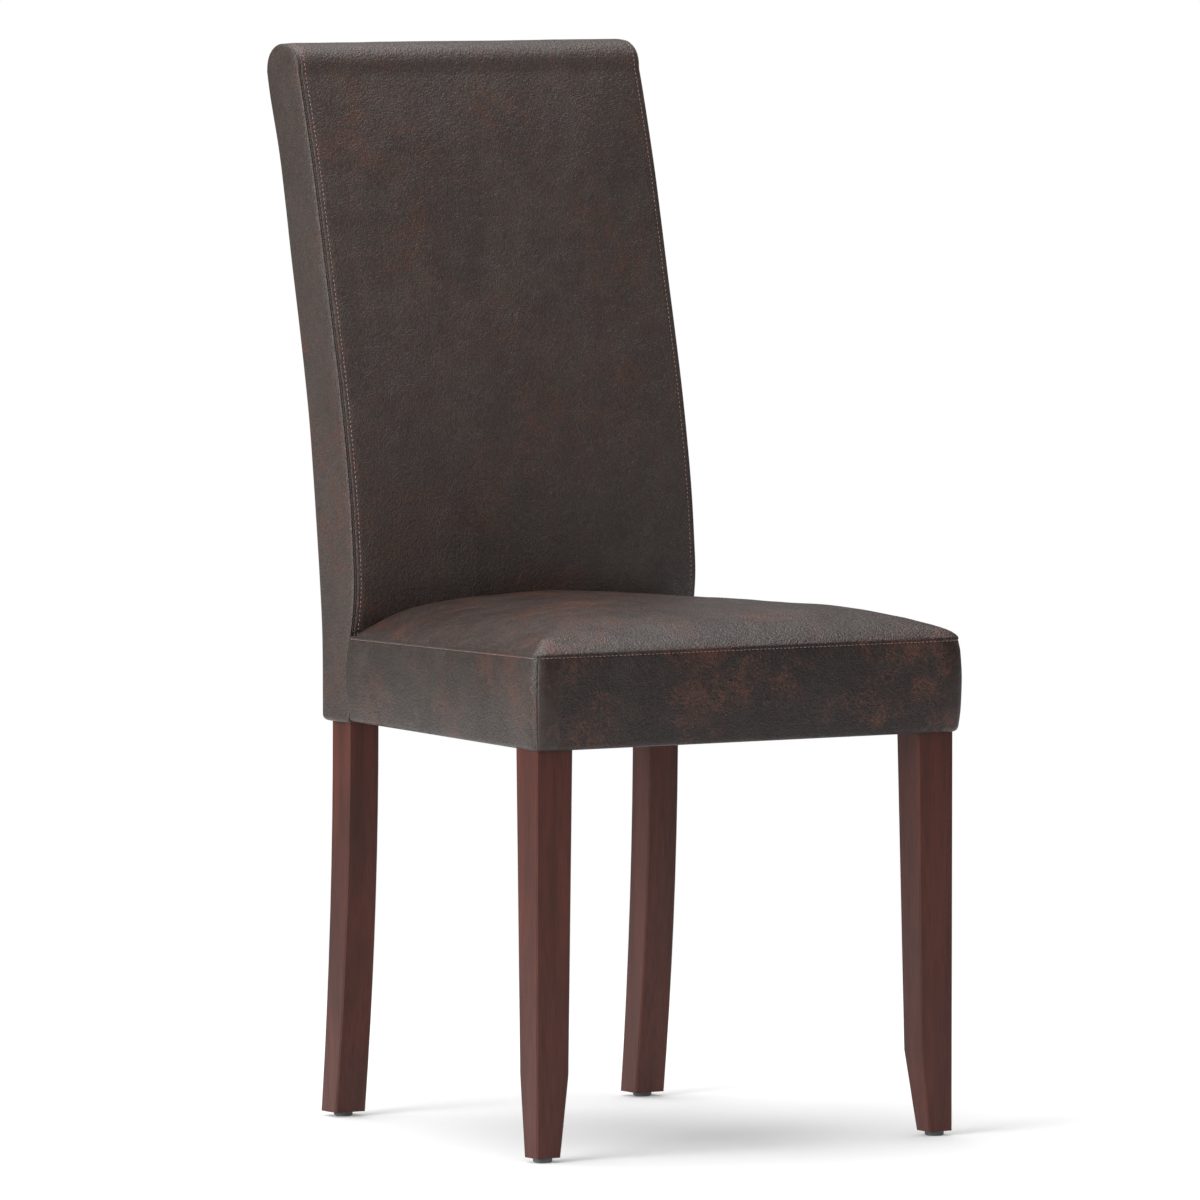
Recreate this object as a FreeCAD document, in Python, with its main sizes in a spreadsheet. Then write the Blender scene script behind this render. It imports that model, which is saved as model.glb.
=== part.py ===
import FreeCAD, Part
import math
import os
import re
import Sketcher

# Upholstered parsons chair, in millimetres.
# The chair faces -Y, +Z is up, and left and right are as seen by someone who faces its front.
# The origin is on the floor, under the middle of the chair's overall box.

SIZES = {
    # seat
    "overall_height": 1000.0,
    "seat_front_width": 461.8,
    "seat_rear_width": 378.0,
    "seat_depth": 400.3,
    "seat_corner_radius": 12.0,
    "band_bottom": 373.0,
    "band_bulge": 2.0,
    "under_edge_radius": 5.5,
    "seam_front": 460.0,
    "seam_rear": 453.0,
    "crown_height": 29.0,
    "crown_power": 0.45,
    "leather": 1.5,
    "soft_gap": 0.3,
    "hem_width": 20.0,
    # back
    "back_width": 377.0,
    "back_depth": 49.0,
    "back_slope": 0.235,
    "back_crown": 6.0,
    "back_edge_radius": 3.5,
    "back_corner_radius": 9.0,
    "lumbar_start": 420.0,
    "lumbar_height": 495.0,
    "lumbar_bulge": 9.5,
    "lumbar_radius": 600.0,
    "bend_start": 392.0,
    "bend_radius": 1395.0,
    "flare_drop": 120.0,
    "flare_lean": 23.8,
    "flare_rise": 1.8,
    "roll_radius": 27.5,
    "rear_seam_drop": 45.0,
    # front legs
    "front_leg_width": 38.5,
    "front_leg_depth": 36.5,
    "front_leg_side_inset": 6.3,
    "front_leg_front_inset": 9.3,
    "spade_height": 79.0,
    "spade_width": 34.4,
    "spade_depth": 30.1,
    "front_foot_width": 25.6,
    "front_foot_depth": 22.0,
    "leg_head_recess": 3.0,
    "wood_edge": 1.4,
    "rail_edge_radius": 2.0,
    # rear posts
    "rear_stance": 362.2,
    "post_width": 32.5,
    "post_depth": 31.5,
    "rear_padding": 6.0,
    "rear_foot_sweep": 25.5,
    "rear_foot_depth": 27.5,
    "stile_drop": 60.0,
    "stile_top_depth": 24.0,
    "crest_straight": 34.0,
    # rails
    "rail_thickness": 22.0,
    "frame_top": 434.5,
    "rear_rail_setback": 5.0,
    "back_rail_bottom": 480.0,
    "back_rail_height": 45.0,
    "back_rail_setback": 6.5,
    # joints and fasteners
    "tenon_thickness": 9.0,
    "tenon_length": 14.0,
    "tenon_shoulder": 8.0,
    "joint_play": 0.1,
    "block_reach": 60.0,
    "block_thickness": 28.0,
    "block_lift": 12.0,
    "bolt_diameter": 8.0,
    "bolt_length": 46.0,
    "bolt_head_width": 13.0,
    "bolt_head_height": 5.3,
    "drill_play": 0.2,
    # glides
    "glide_height": 4.5,
    "glide_diameter": 17.5,
    "glide_edge": 1.0,
    "nail_diameter": 2.5,
    "nail_length": 18.0,
    # webbing and dust cover
    "strap_width": 50.0,
    "strap_spacing": 70.0,
    "row_spacing": 68.0,
    "row_start": 32.0,
    "back_strap_spacing": 70.0,
    "strap_thickness": 1.2,
    "strap_ramp": 9.0,
    "strap_grip": 16.0,
    "dust_cover_thickness": 0.6,
    "dust_cover_inset": 12.0,
}

# Places that follow from the sizes above.
PLACES = {
    "flare_start": "(overall_height - flare_drop)",
    "stile_top": "(overall_height - stile_drop)",
    "back_rake": "(bend_shift + (flare_start - bend_end) * back_slope + flare_lean)",
    "front_face": "(band_bulge - seat_depth - back_depth - back_rake) / 2",
    "back_face": "(front_face + seat_depth)",
    "back_rear": "(back_face + back_depth)",
    "leg_front": "(front_face + front_leg_front_inset)",
    "leg_back": "(leg_front + front_leg_depth)",
    "front_half": "(seat_front_width / 2 - front_leg_side_inset)",
    "leg_inner": "(front_half - front_leg_width)",
    "rear_half": "(rear_stance / 2)",
    "post_inner": "(rear_half - post_width)",
    "post_rear": "(back_rear - rear_padding)",
    "post_front": "(post_rear - post_depth)",
    "slope_length": "sqrt(1 + back_slope ^ 2)",
    "bend_end": "(bend_start + bend_radius * back_slope / slope_length)",
    "bend_shift": "(bend_radius * (1 - 1 / slope_length))",
    "stile_shift": "(bend_shift + (stile_top - bend_end) * back_slope)",
    "leg_drop": "(band_bottom - glide_height)",
    "rear_sweep": "(rear_foot_sweep + rear_foot_depth - post_depth)",
    "rail_bottom": "(band_bottom + leather)",
    "rail_height": "(frame_top - rail_bottom)",
    "rail_slope": "((head_half - rear_half) / (post_front - leg_back))",
    "head_front": "(leg_front + leg_head_recess)",
    "head_half": "(front_half - leg_head_recess)",
    "side_inner_front": "(head_half - rail_thickness)",
    "side_inner_rear": "(rear_half - rail_thickness)",
    "rear_rail_front": "(post_front + rear_rail_setback)",
    "deck_height": "(frame_top + strap_thickness * 2 + soft_gap * 3)",
    "underneath": "(band_bottom * 0.8)",
    "overhead": "(overall_height * 1.1)",
    "aside": "seat_front_width",
}

SIDES = {"left": -1, "right": 1}

doc = FreeCAD.newDocument("parsons_chair")
sheet = doc.addObject("Spreadsheet::Sheet", "sizes")
for row, (name, number) in enumerate(SIZES.items(), start=1):
    sheet.set(f"A{row}", name)
    sheet.set(f"B{row}", str(number))
    sheet.setAlias(f"B{row}", name)
doc.recompute()

parts = {}


def formula(text):
    """Write an expression in words as one that reads the sheet."""
    text = str(text)
    while any(name in PLACES for name in re.findall(r"[a-z_]+", text)):
        text = re.sub(r"[a-z_]+", lambda word: PLACES.get(word.group(), word.group()), text)
    return re.sub(
        r"[a-z_]+",
        lambda word: "sizes." + word.group() if word.group() in SIZES else word.group(),
        text,
    )


def value(text):
    """Give the number that an expression in words stands for."""
    return float(sheet.evalExpression(formula(text)))


def vector(x=0.0, y=0.0, z=0.0):
    return FreeCAD.Vector(x, y, z)


def bind(thing, **expressions):
    """Bind properties of a document object to the sheet."""
    for name, text in expressions.items():
        thing.setExpression(name.replace("__", "."), formula(text))


def keep(label, thing):
    """Name a finished sub-part."""
    thing.Label = label
    parts[label] = thing
    return thing


def feature(label, shape):
    """Keep a shape that no sketch or primitive describes."""
    thing = doc.addObject("Part::Feature", label)
    thing.Shape = shape
    thing.Placement = FreeCAD.Placement()
    return keep(label, thing)


# Sketches

def sketch_on(body, name, role, corners, lift="0"):
    """Draw a closed outline on an origin plane, each corner placed from the sheet.

    A corner is (across, up) or (across, up, radius, turn), where the last two make the edge
    that leaves it an arc, with turn 1 for an arc round a centre on its left and -1 on its right.
    """
    sketch = body.newObject("Sketcher::SketchObject", name)
    plane = [item for item in body.Origin.OriginFeatures if item.Role == role][0]
    sketch.AttachmentSupport = [(plane, "")]
    sketch.MapMode = "FlatFace"
    if lift != "0":
        bind(sketch, AttachmentOffset__Base__z=lift)
    points = [vector(value(corner[0]), value(corner[1])) for corner in corners]
    starts, ends, radii = [], [], {}
    for index, corner in enumerate(corners):
        here, there = points[index], points[(index + 1) % len(points)]
        if len(corner) == 2:
            sketch.addGeometry(Part.LineSegment(here, there))
            starts.append(1)
            ends.append(2)
            continue
        radius, turn = value(corner[2]), corner[3]
        run = there - here
        half = run.Length / 2
        normal = vector(-run.y, run.x).normalize() * turn
        centre = (here + there) / 2 + normal * math.sqrt(radius ** 2 - half ** 2)
        first, last = (here, there) if turn > 0 else (there, here)
        angles = [math.atan2(point.y - centre.y, point.x - centre.x) for point in (first, last)]
        circle = Part.Circle(centre, vector(0, 0, 1), radius)
        sketch.addGeometry(Part.ArcOfCircle(circle, angles[0], angles[1]))
        starts.append(1 if turn > 0 else 2)
        ends.append(2 if turn > 0 else 1)
        radii[index] = corner[2]
    for index in range(len(corners)):
        after = (index + 1) % len(corners)
        sketch.addConstraint(
            Sketcher.Constraint("Coincident", index, ends[index], after, starts[after])
        )
    for index, corner in enumerate(corners):
        for kind, axis, text in (("DistanceX", -2, corner[0]), ("DistanceY", -1, corner[1])):
            distance = value(text)
            if abs(distance) < 1e-9:
                place = Sketcher.Constraint("PointOnObject", index, starts[index], axis)
                sketch.addConstraint(place)
                continue
            place = Sketcher.Constraint(kind, -1, 1, index, starts[index], distance)
            number = sketch.addConstraint(place)
            sketch.setExpression(f"Constraints[{number}]", formula(text))
    for index, text in radii.items():
        number = sketch.addConstraint(Sketcher.Constraint("Radius", index, value(text)))
        sketch.setExpression(f"Constraints[{number}]", formula(text))
    return sketch


def new_body(label):
    return doc.addObject("PartDesign::Body", label + "_body")


def pad(body, sketch, length):
    """Raise a sketch into a solid."""
    raised = body.newObject("PartDesign::Pad", "Pad")
    raised.Profile = sketch
    bind(raised, Length=length)
    sketch.Visibility = False
    doc.recompute()
    return raised


def revolve(body, sketch):
    """Turn a half outline on the XZ plane round the upright axis."""
    turned = body.newObject("PartDesign::Revolution", "Revolution")
    turned.Profile = sketch
    turned.ReferenceAxis = (sketch, ["V_Axis"])
    turned.Angle = 360
    sketch.Visibility = False
    doc.recompute()
    return turned


def rectangle(low_x, high_x, low_y, high_y):
    return [(low_x, low_y), (high_x, low_y), (high_x, high_y), (low_x, high_y)]


def eased_rectangle(low_x, high_x, low_y, high_y, ease):
    """Give a rectangle's corners with a small flat across each."""
    return [
        (f"{low_x} + {ease}", low_y),
        (f"{high_x} - {ease}", low_y),
        (high_x, f"{low_y} + {ease}"),
        (high_x, f"{high_y} - {ease}"),
        (f"{high_x} - {ease}", high_y),
        (f"{low_x} + {ease}", high_y),
        (low_x, f"{high_y} - {ease}"),
        (low_x, f"{low_y} + {ease}"),
    ]


def span(side, outer, width):
    """Give the low and high X of something that lies inwards from a face on one side."""
    if side < 0:
        return f"-{outer}", f"-{outer} + {width}"
    return f"{outer} - {width}", outer


# Drillings: each is one cylinder that cuts every wooden piece it passes through

drillings = []


def rod(name, radius, length, base, direction):
    """Make a cylinder from a point along a direction."""
    cylinder = doc.addObject("Part::Cylinder", name)
    bind(cylinder, Radius=radius, Height=length)
    cylinder.Placement = FreeCAD.Placement(
        vector(*base), FreeCAD.Rotation(vector(0, 0, 1), vector(*direction))
    )
    return cylinder


def group(label, members):
    """Keep several equal pieces as one sub-part."""
    compound = doc.addObject("Part::Compound", label)
    compound.Links = members
    return keep(label, compound)


# Mortise and tenon joints: the tenon belongs to one piece and its mortise cuts the other

tenons = {}


def box(name, low, high):
    """Make a box between two corners that are given in words."""
    block = doc.addObject("Part::Box", name)
    edges = {"Length": (low[0], high[0]), "Width": (low[1], high[1]), "Height": (low[2], high[2])}
    bind(block, **{edge: f"({far}) - ({near})" for edge, (near, far) in edges.items()})
    bind(
        block,
        Placement__Base__x=low[0], Placement__Base__y=low[1], Placement__Base__z=low[2],
    )
    return block


def tenon(owner, low, high, tip):
    """Give a piece a tenon and drill its mortise, which has play round it and past its tip.

    The tip is the axis and the way in which the tenon points.
    """
    tenons.setdefault(owner, []).append(box("tenon", low, high))
    wide_low, wide_high = list(low), list(high)
    for axis in range(3):
        if axis != tip[0]:
            wide_low[axis] = f"({low[axis]}) - joint_play"
            wide_high[axis] = f"({high[axis]}) + joint_play"
    if tip[1] > 0:
        wide_high[tip[0]] = f"({high[tip[0]]}) + joint_play * 10"
    else:
        wide_low[tip[0]] = f"({low[tip[0]]}) - joint_play * 10"
    drillings.append(box("mortise", wide_low, wide_high))


def about(middle, thickness="tenon_thickness"):
    """Give the low and high of a tenon's thickness round its middle."""
    return f"{middle} - {thickness} / 2", f"{middle} + {thickness} / 2"


def mirrored_span(sign, near, far):
    """Give the low and high X of something between two distances from the middle plane."""
    return (near, far) if sign > 0 else (f"-({far})", f"-({near})")


def make_joints():
    """Tenons of the rails into the legs and posts, and of the posts into the crest rail."""
    low_z, high_z = "rail_bottom + tenon_shoulder", "frame_top - tenon_shoulder"
    front_y = about("(head_front + rail_thickness / 2)")
    rear_y = about("(rear_rail_front + rail_thickness / 2)")
    back_y = about("(post_front + back_rail_setback + rail_thickness / 2)")
    crest_y = about("(post_rear + stile_shift - stile_top_depth / 2 + tenon_length * back_slope / 2)")
    for side_name, sign in SIDES.items():
        tip = (0, sign)
        xs = mirrored_span(sign, "leg_inner", "leg_inner + tenon_length")
        tenon("front_rail", (xs[0], front_y[0], low_z), (xs[1], front_y[1], high_z), tip)
        xs = mirrored_span(sign, "post_inner", "post_inner + tenon_length")
        tenon("rear_rail", (xs[0], rear_y[0], low_z), (xs[1], rear_y[1], high_z), tip)
        heights = (
            "back_rail_bottom + tenon_shoulder",
            "back_rail_bottom + back_rail_height - tenon_shoulder",
        )
        low, high = zip(xs, back_y, heights)
        tenon("lower_back_rail", low, high, tip)

        rail = f"side_rail_{side_name}"
        xs = mirrored_span(sign, *about("(head_half - rail_thickness / 2)"))
        tenon(rail, (xs[0], "leg_back - tenon_length", low_z), (xs[1], "leg_back", high_z), (1, -1))
        xs = mirrored_span(sign, *about("(rear_half - rail_thickness / 2)"))
        tenon(
            rail, (xs[0], "post_front", low_z), (xs[1], "post_front + tenon_length", high_z), (1, 1)
        )
        xs = mirrored_span(
            sign,
            "post_inner + tenon_shoulder / 2",
            "rear_half - tenon_shoulder / 2",
        )
        low, high = zip(xs, crest_y, ("stile_top", "stile_top + tenon_length"))
        tenon(f"rear_post_{side_name}", low, high, (2, 1))


# Corner blocks with their bolts

def block_corners(place, sign):
    """Give a corner block's outline: two rail faces, a notch for the leg and a long diagonal."""
    if place == "front":
        rail_face, leg_face, way = "head_front + rail_thickness", "leg_back", 1
        leg_side, rail_side = "leg_inner", "side_inner_front"
    else:
        rail_face, leg_face, way = "rear_rail_front", "post_front", -1
        leg_side, rail_side = "post_inner", "side_inner_rear"
    reach_x = f"{rail_side} - {way} * block_reach * rail_slope"
    corners = [
        (f"{leg_side} - block_reach", rail_face),
        (leg_side, rail_face),
        (leg_side, f"{leg_face} + {way} * drill_play"),
        (f"{rail_side} - {way} * drill_play * rail_slope", f"{leg_face} + {way} * drill_play"),
        (reach_x, f"{leg_face} + {way} * block_reach"),
    ]
    return [(f"{sign} * ({across})", along) for across, along in corners]


def make_corner_blocks():
    """Four glued blocks, each with a bolt through it into the leg's inner corner."""
    height = value("rail_bottom + block_lift + block_thickness / 2")
    bolts = []
    for place in ("front", "rear"):
        for side_name, sign in SIDES.items():
            corners = block_corners(place, sign)
            label = f"corner_block_{place}_{side_name}"
            body = new_body(label)
            outline = sketch_on(body, "plan", "XY_Plane", corners, "rail_bottom + block_lift")
            pad(body, outline, "block_thickness")
            wood[label] = body

            points = [vector(value(across), value(along), height) for across, along in corners]
            middle = (points[0] + points[-1]) / 2
            diagonal = (points[-1] - points[0]).normalize()
            inward = vector(-diagonal.y, diagonal.x)
            if inward.dot(points[2] - middle) < 0:
                inward = inward * -1
            hole_radius = "(bolt_diameter + drill_play) / 2"
            drillings.append(rod("bolt_hole", hole_radius, "bolt_length", middle, inward))
            shank = rod("bolt_shank", "bolt_diameter / 2", "bolt_length - 1", middle, inward)
            head = doc.addObject("Part::Prism", "bolt_head")
            head.Polygon = 6
            bind(head, Circumradius="bolt_head_width / sqrt(3)", Height="bolt_head_height")
            away = FreeCAD.Rotation(vector(0, 0, 1), inward * -1)
            head.Placement = FreeCAD.Placement(middle, away)
            bolt = doc.addObject("Part::Fuse", "bolt")
            bolt.Base = shank
            bolt.Tool = head
            bolts.append(bolt)
    group("corner_bolts", bolts)


# Wooden pieces before they are drilled

wood = {}


def make_front_legs():
    """Square legs that taper on their two inner faces, faster below the spade line.

    Behind the seat's covers the head of the leg is set back on its two outer faces.
    """
    stations = [
        ("glide_height", "front_foot_width", "front_foot_depth"),
        ("spade_height", "spade_width", "spade_depth"),
        ("rail_bottom", "front_leg_width", "front_leg_depth"),
    ]
    for side_name, sign in SIDES.items():
        body = new_body(f"front_leg_{side_name}")
        sections = []
        for height, width, depth in stations:
            low, high = span(sign, "front_half", width)
            corners = eased_rectangle(
                low, high, "leg_front", f"leg_front + {depth}", "wood_edge"
            )
            sections.append(sketch_on(body, f"at_{height}", "XY_Plane", corners, height))
        doc.recompute()
        loft = body.newObject("PartDesign::AdditiveLoft", "taper")
        loft.Profile = sections[0]
        loft.Sections = sections[1:]
        loft.Ruled = True
        for section in sections:
            section.Visibility = False
        low, high = span(sign, "head_half", "(head_half - leg_inner)")
        corners = eased_rectangle(low, high, "head_front", "leg_back", "wood_edge")
        pad(body, sketch_on(body, "head", "XY_Plane", corners, "rail_bottom"), "rail_height")
        wood[f"front_leg_{side_name}"] = body


def make_rear_posts():
    """Rear leg and back stile in one sawn curve: swept foot, upright seat part, raked stile."""
    front_radius = "((leg_drop ^ 2 + rear_foot_sweep ^ 2) / (2 * rear_foot_sweep))"
    rear_radius = "((leg_drop ^ 2 + rear_sweep ^ 2) / (2 * rear_sweep))"
    leg = [
        ("post_front + rear_foot_sweep", "glide_height"),
        ("post_rear + rear_sweep", "glide_height", rear_radius, -1),
        ("post_rear", "band_bottom"),
        ("post_front", "band_bottom", front_radius, 1),
    ]
    stile = [
        ("post_front", "band_bottom"),
        ("post_rear", "band_bottom"),
        ("post_rear", "bend_start", "bend_radius", -1),
        ("post_rear + bend_shift", "bend_end"),
        ("post_rear + stile_shift", "stile_top"),
        ("post_rear + stile_shift - stile_top_depth", "stile_top"),
        ("post_front + bend_shift", "bend_end", "bend_radius", 1),
        ("post_front", "bend_start"),
    ]
    for side_name, sign in SIDES.items():
        body = new_body(f"rear_post_{side_name}")
        low, high = span(sign, "rear_half", "post_width")
        raised = pad(body, sketch_on(body, "leg", "YZ_Plane", leg, low), "post_width")
        uprights = [
            f"Edge{index}"
            for index, edge in enumerate(raised.Shape.Edges, start=1)
            if edge.BoundBox.ZLength > value("leg_drop") * 0.9
        ]
        eased = body.newObject("PartDesign::Chamfer", "eased_edges")
        eased.Base = (raised, uprights)
        bind(eased, Size="wood_edge")
        doc.recompute()
        pad(body, sketch_on(body, "stile", "YZ_Plane", stile, low), "post_width")
        wood[f"rear_post_{side_name}"] = body


def upright_board(label, corners, eased=True):
    """Raise a seat rail from its plan, with its lower outer edge rounded for the leather."""
    body = new_body(label)
    plan = sketch_on(body, "plan", "XY_Plane", corners, "rail_bottom")
    raised = pad(body, plan, "rail_height")
    if eased:
        lower = [
            (abs(edge.CenterOfMass.x) + abs(edge.CenterOfMass.y), f"Edge{index}")
            for index, edge in enumerate(raised.Shape.Edges, start=1)
            if edge.BoundBox.ZMax < value("rail_bottom") + 1 and edge.Length > value("block_reach")
        ]
        round_over = body.newObject("PartDesign::Fillet", "eased_edge")
        round_over.Base = (raised, [max(lower)[1]])
        bind(round_over, Radius="rail_edge_radius")
    wood[label] = body


def make_seat_rails():
    """Front, rear and side rails; the side rails run in towards the back and end square to it."""
    upright_board(
        "front_rail",
        rectangle("-leg_inner", "leg_inner", "head_front", "head_front + rail_thickness"),
    )
    upright_board(
        "rear_rail",
        rectangle(
            "-post_inner", "post_inner", "rear_rail_front", "rear_rail_front + rail_thickness"
        ),
        eased=False,
    )
    for side_name, sign in SIDES.items():
        corners = [
            ("side_inner_front", "leg_back"),
            ("head_half", "leg_back"),
            ("rear_half", "post_front"),
            ("side_inner_rear", "post_front"),
        ]
        plan = [(f"{sign} * {across}", along) for across, along in corners]
        upright_board(f"side_rail_{side_name}", plan)


def make_back_rails():
    """Lower rail between the stiles, and a crest rail with a round top across both of them."""
    body = new_body("lower_back_rail")
    corners = rectangle(
        "-post_inner", "post_inner",
        "post_front + back_rail_setback", "post_front + back_rail_setback + rail_thickness",
    )
    pad(body, sketch_on(body, "plan", "XY_Plane", corners, "back_rail_bottom"), "back_rail_height")
    wood["lower_back_rail"] = body

    body = new_body("crest_rail")
    rear_low = "post_rear + stile_shift"
    rear_high = "post_rear + stile_shift + crest_straight * back_slope"
    corners = [
        (f"{rear_low} - stile_top_depth", "stile_top"),
        (rear_low, "stile_top"),
        (rear_high, "stile_top + crest_straight", "stile_top_depth * 0.52", 1),
        (f"{rear_high} - stile_top_depth", "stile_top + crest_straight"),
    ]
    side_view = sketch_on(body, "side_view", "YZ_Plane", corners, "-rear_half")
    pad(body, side_view, "rear_stance")
    wood["crest_rail"] = body


def drill_wood():
    """Cut the joints' holes in each wooden piece, then give it its own tenons."""
    tool = doc.addObject("Part::Compound", "drillings")
    tool.Links = drillings
    for label, body in wood.items():
        cut = doc.addObject("Part::Cut", label + "_drilled")
        cut.Base = body
        cut.Tool = tool
        if label in tenons:
            joined = doc.addObject("Part::MultiFuse", label + "_jointed")
            joined.Shapes = [cut] + tenons[label]
            cut = joined
        keep(label, cut)


# Glides

def foot_places():
    """Give the middle of each leg's foot."""
    front_x = value("front_half - front_foot_width / 2")
    front_y = value("leg_front + front_foot_depth / 2")
    rear_x = value("rear_half - post_width / 2")
    rear_y = value("post_front + rear_foot_sweep + rear_foot_depth / 2")
    places = {}
    for side_name, sign in SIDES.items():
        places[f"front_{side_name}"] = (sign * front_x, front_y)
        places[f"rear_{side_name}"] = (sign * rear_x, rear_y)
    return places


def make_glides():
    """Round glides, each with a nail of its own that is driven into the leg's end grain."""
    body = new_body("glide")
    corners = [
        ("0", "0"),
        ("glide_diameter / 2 - glide_edge * 1.5", "0"),
        ("glide_diameter / 2", "glide_edge"),
        ("glide_diameter / 2", "glide_height"),
        ("nail_diameter / 2", "glide_height"),
        ("nail_diameter / 2", "glide_height + nail_length"),
        ("0", "glide_height + nail_length"),
    ]
    revolve(body, sketch_on(body, "half", "XZ_Plane", corners))
    glides = []
    for x, y in foot_places().values():
        glide = doc.addObject("App::Link", "glide")
        glide.LinkedObject = body
        glide.LinkPlacement = FreeCAD.Placement(vector(x, y, 0), FreeCAD.Rotation())
        glides.append(glide)
        base = (x, y, value("glide_height"))
        drillings.append(
            rod("nail_hole", "nail_diameter / 2", "nail_length + drill_play", base, (0, 0, 1))
        )
    group("leg_glides", glides)


# Soft forms

def seat_half_width(y):
    """Give the half width of the seat's outline, which narrows evenly to the back."""
    narrowing = value("(seat_front_width - seat_rear_width) / 2 / seat_depth")
    return value("seat_front_width") / 2 - (y - value("front_face")) * narrowing


def seat_wire(inset, front_height, rear_height, radius):
    """Give the seat's outline, drawn in by an inset, in a plane that slopes to the back."""
    front = value("front_face") + inset
    rear = value("back_face") + value("back_edge_radius")
    fall = (rear_height - front_height) / value("seat_depth")

    def lifted(x, y):
        return vector(x, y, front_height + fall * (y - value("front_face")))

    wide, narrow = seat_half_width(front) - inset, seat_half_width(rear) - inset
    along_side = vector(narrow - wide, rear - front).normalize()
    half_angle = math.acos(-along_side.x) / 2
    tangent = radius / math.tan(half_angle)
    to_arc = radius / math.sin(half_angle) - radius
    bisector = (along_side + vector(-1, 0)).normalize()
    on_front = (wide - tangent, front)
    on_arc = (wide + bisector.x * to_arc, front + bisector.y * to_arc)
    on_side = (wide + along_side.x * tangent, front + along_side.y * tangent)
    edges = [
        Part.LineSegment(lifted(-on_front[0], on_front[1]), lifted(*on_front)),
        Part.Arc(lifted(*on_front), lifted(*on_arc), lifted(*on_side)),
        Part.LineSegment(lifted(*on_side), lifted(narrow, rear)),
        Part.LineSegment(lifted(narrow, rear), lifted(-narrow, rear)),
        Part.LineSegment(lifted(-narrow, rear), lifted(-on_side[0], on_side[1])),
        Part.Arc(
            lifted(-on_side[0], on_side[1]),
            lifted(-on_arc[0], on_arc[1]),
            lifted(-on_front[0], on_front[1]),
        ),
    ]
    return Part.Wire([edge.toShape() for edge in edges])


def ruled_solid(wires):
    """Join a stack of outlines by flat faces between parallel sides and ruled ones elsewhere."""
    faces = [Part.Face(wires[0]), Part.Face(wires[-1])]
    for low, high in zip(wires, wires[1:]):
        for near, far in zip(low.OrderedEdges, high.OrderedEdges):
            ends = [
                (edge.firstVertex(True).Point, edge.lastVertex(True).Point) for edge in (near, far)
            ]
            runs = [(last - first).normalize() for first, last in ends]
            if near.Curve.TypeId == "Part::GeomLine" and runs[0].cross(runs[1]).Length < 1e-9:
                (first, last), (far_first, far_last) = ends
                outline = Part.makePolygon([first, last, far_last, far_first, first])
                faces.append(Part.Face(outline))
            else:
                faces.append(Part.makeRuledSurface(near, far))
    shell = Part.makeShell(faces)
    shell.sewShape()
    return Part.makeSolid(shell)


def seat_box(inset, above=0.0):
    """Give the banded part of the seat: round under edge, sides that belly out between seams."""
    bottom = value("band_bottom") + inset
    radius = value("under_edge_radius")
    corner = value("seat_corner_radius")
    seam = (value("seam_front") + above, value("seam_rear") + above)
    turn = [
        (1.0, 0.0),
        (1.0 - math.sin(math.pi / 6), 1.0 - math.cos(math.pi / 6)),
        (1.0 - math.sin(math.pi / 3), 1.0 - math.cos(math.pi / 3)),
        (0.0, 1.0),
    ]
    low = []
    for inward, up in turn:
        level = bottom + up * (radius - inset)
        low.append(seat_wire(inset + inward * (radius - inset), level, level, corner))
    under = ruled_solid(low)
    top_of_turn = bottom + radius - inset
    belly = value("band_bulge")
    rings = [low[-1]]
    for share in (0.25, 0.5, 0.75, 1.0):
        out = 4 * share * (1 - share) * belly
        levels = [top_of_turn + (end - top_of_turn) * share for end in seam]
        rings.append(seat_wire(inset - out, levels[0], levels[1], corner))
    return under.fuse(ruled_solid(rings))


def seat_crown(inset, below=0.0):
    """Give the cushioned top: it rolls up steeply at the seam and flattens to the middle."""
    middle = value("seat_rear_width") / 2
    corner = value("seat_corner_radius")
    seam = (value("seam_front"), value("seam_rear"))

    def level(draw):
        rise = value("crown_height") * (draw / middle) ** value("crown_power")
        rise -= inset * min(1.0, draw / 6.0)
        return seat_wire(inset + draw, seam[0] + rise, seam[1] + rise, corner + draw * 0.2)

    draws = (0.0, 5.0, 18.0, 55.0, 150.0)
    wires = [level(draw) for draw in draws]
    if below:
        wires.insert(0, seat_wire(inset, seam[0] - below, seam[1] - below, corner))
    return ruled_solid(wires)


def prism(points, low, high):
    """Raise a plan outline between two heights."""
    corners = [vector(x, y, low) for x, y in points]
    return Part.Face(Part.makePolygon(corners + corners[:1])).extrude(vector(0, 0, high - low))


def across(edges, half):
    """Give a closed side view, in Y and Z, its full width across the chair."""
    face = Part.Face(Part.Wire(edges))
    face.translate(vector(-half))
    return face.extrude(vector(2 * half))


def everywhere(low, high):
    """Give a block wider than the chair between two heights."""
    far = value("aside")
    return prism([(-far, -far), (far, -far), (far, far), (-far, far)], low, high)


def slab(points, half):
    """Give a side view with straight sides its full width across the chair."""
    corners = [vector(0, y, z) for y, z in points]
    return across(Part.makePolygon(corners + corners[:1]).Edges, half)


def upright_arc(start, height, shift):
    """Give an arc that leaves a point straight up and ends higher and further back."""
    angle = 2 * math.atan2(abs(shift), abs(height))
    radius = abs(height) / math.sin(angle)
    way, rise = math.copysign(1, shift), math.copysign(1, height)
    middle = start + vector(
        0, way * radius * (1 - math.cos(angle / 2)), rise * radius * math.sin(angle / 2)
    )
    return Part.Arc(start, middle, start + vector(0, shift, height))


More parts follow.
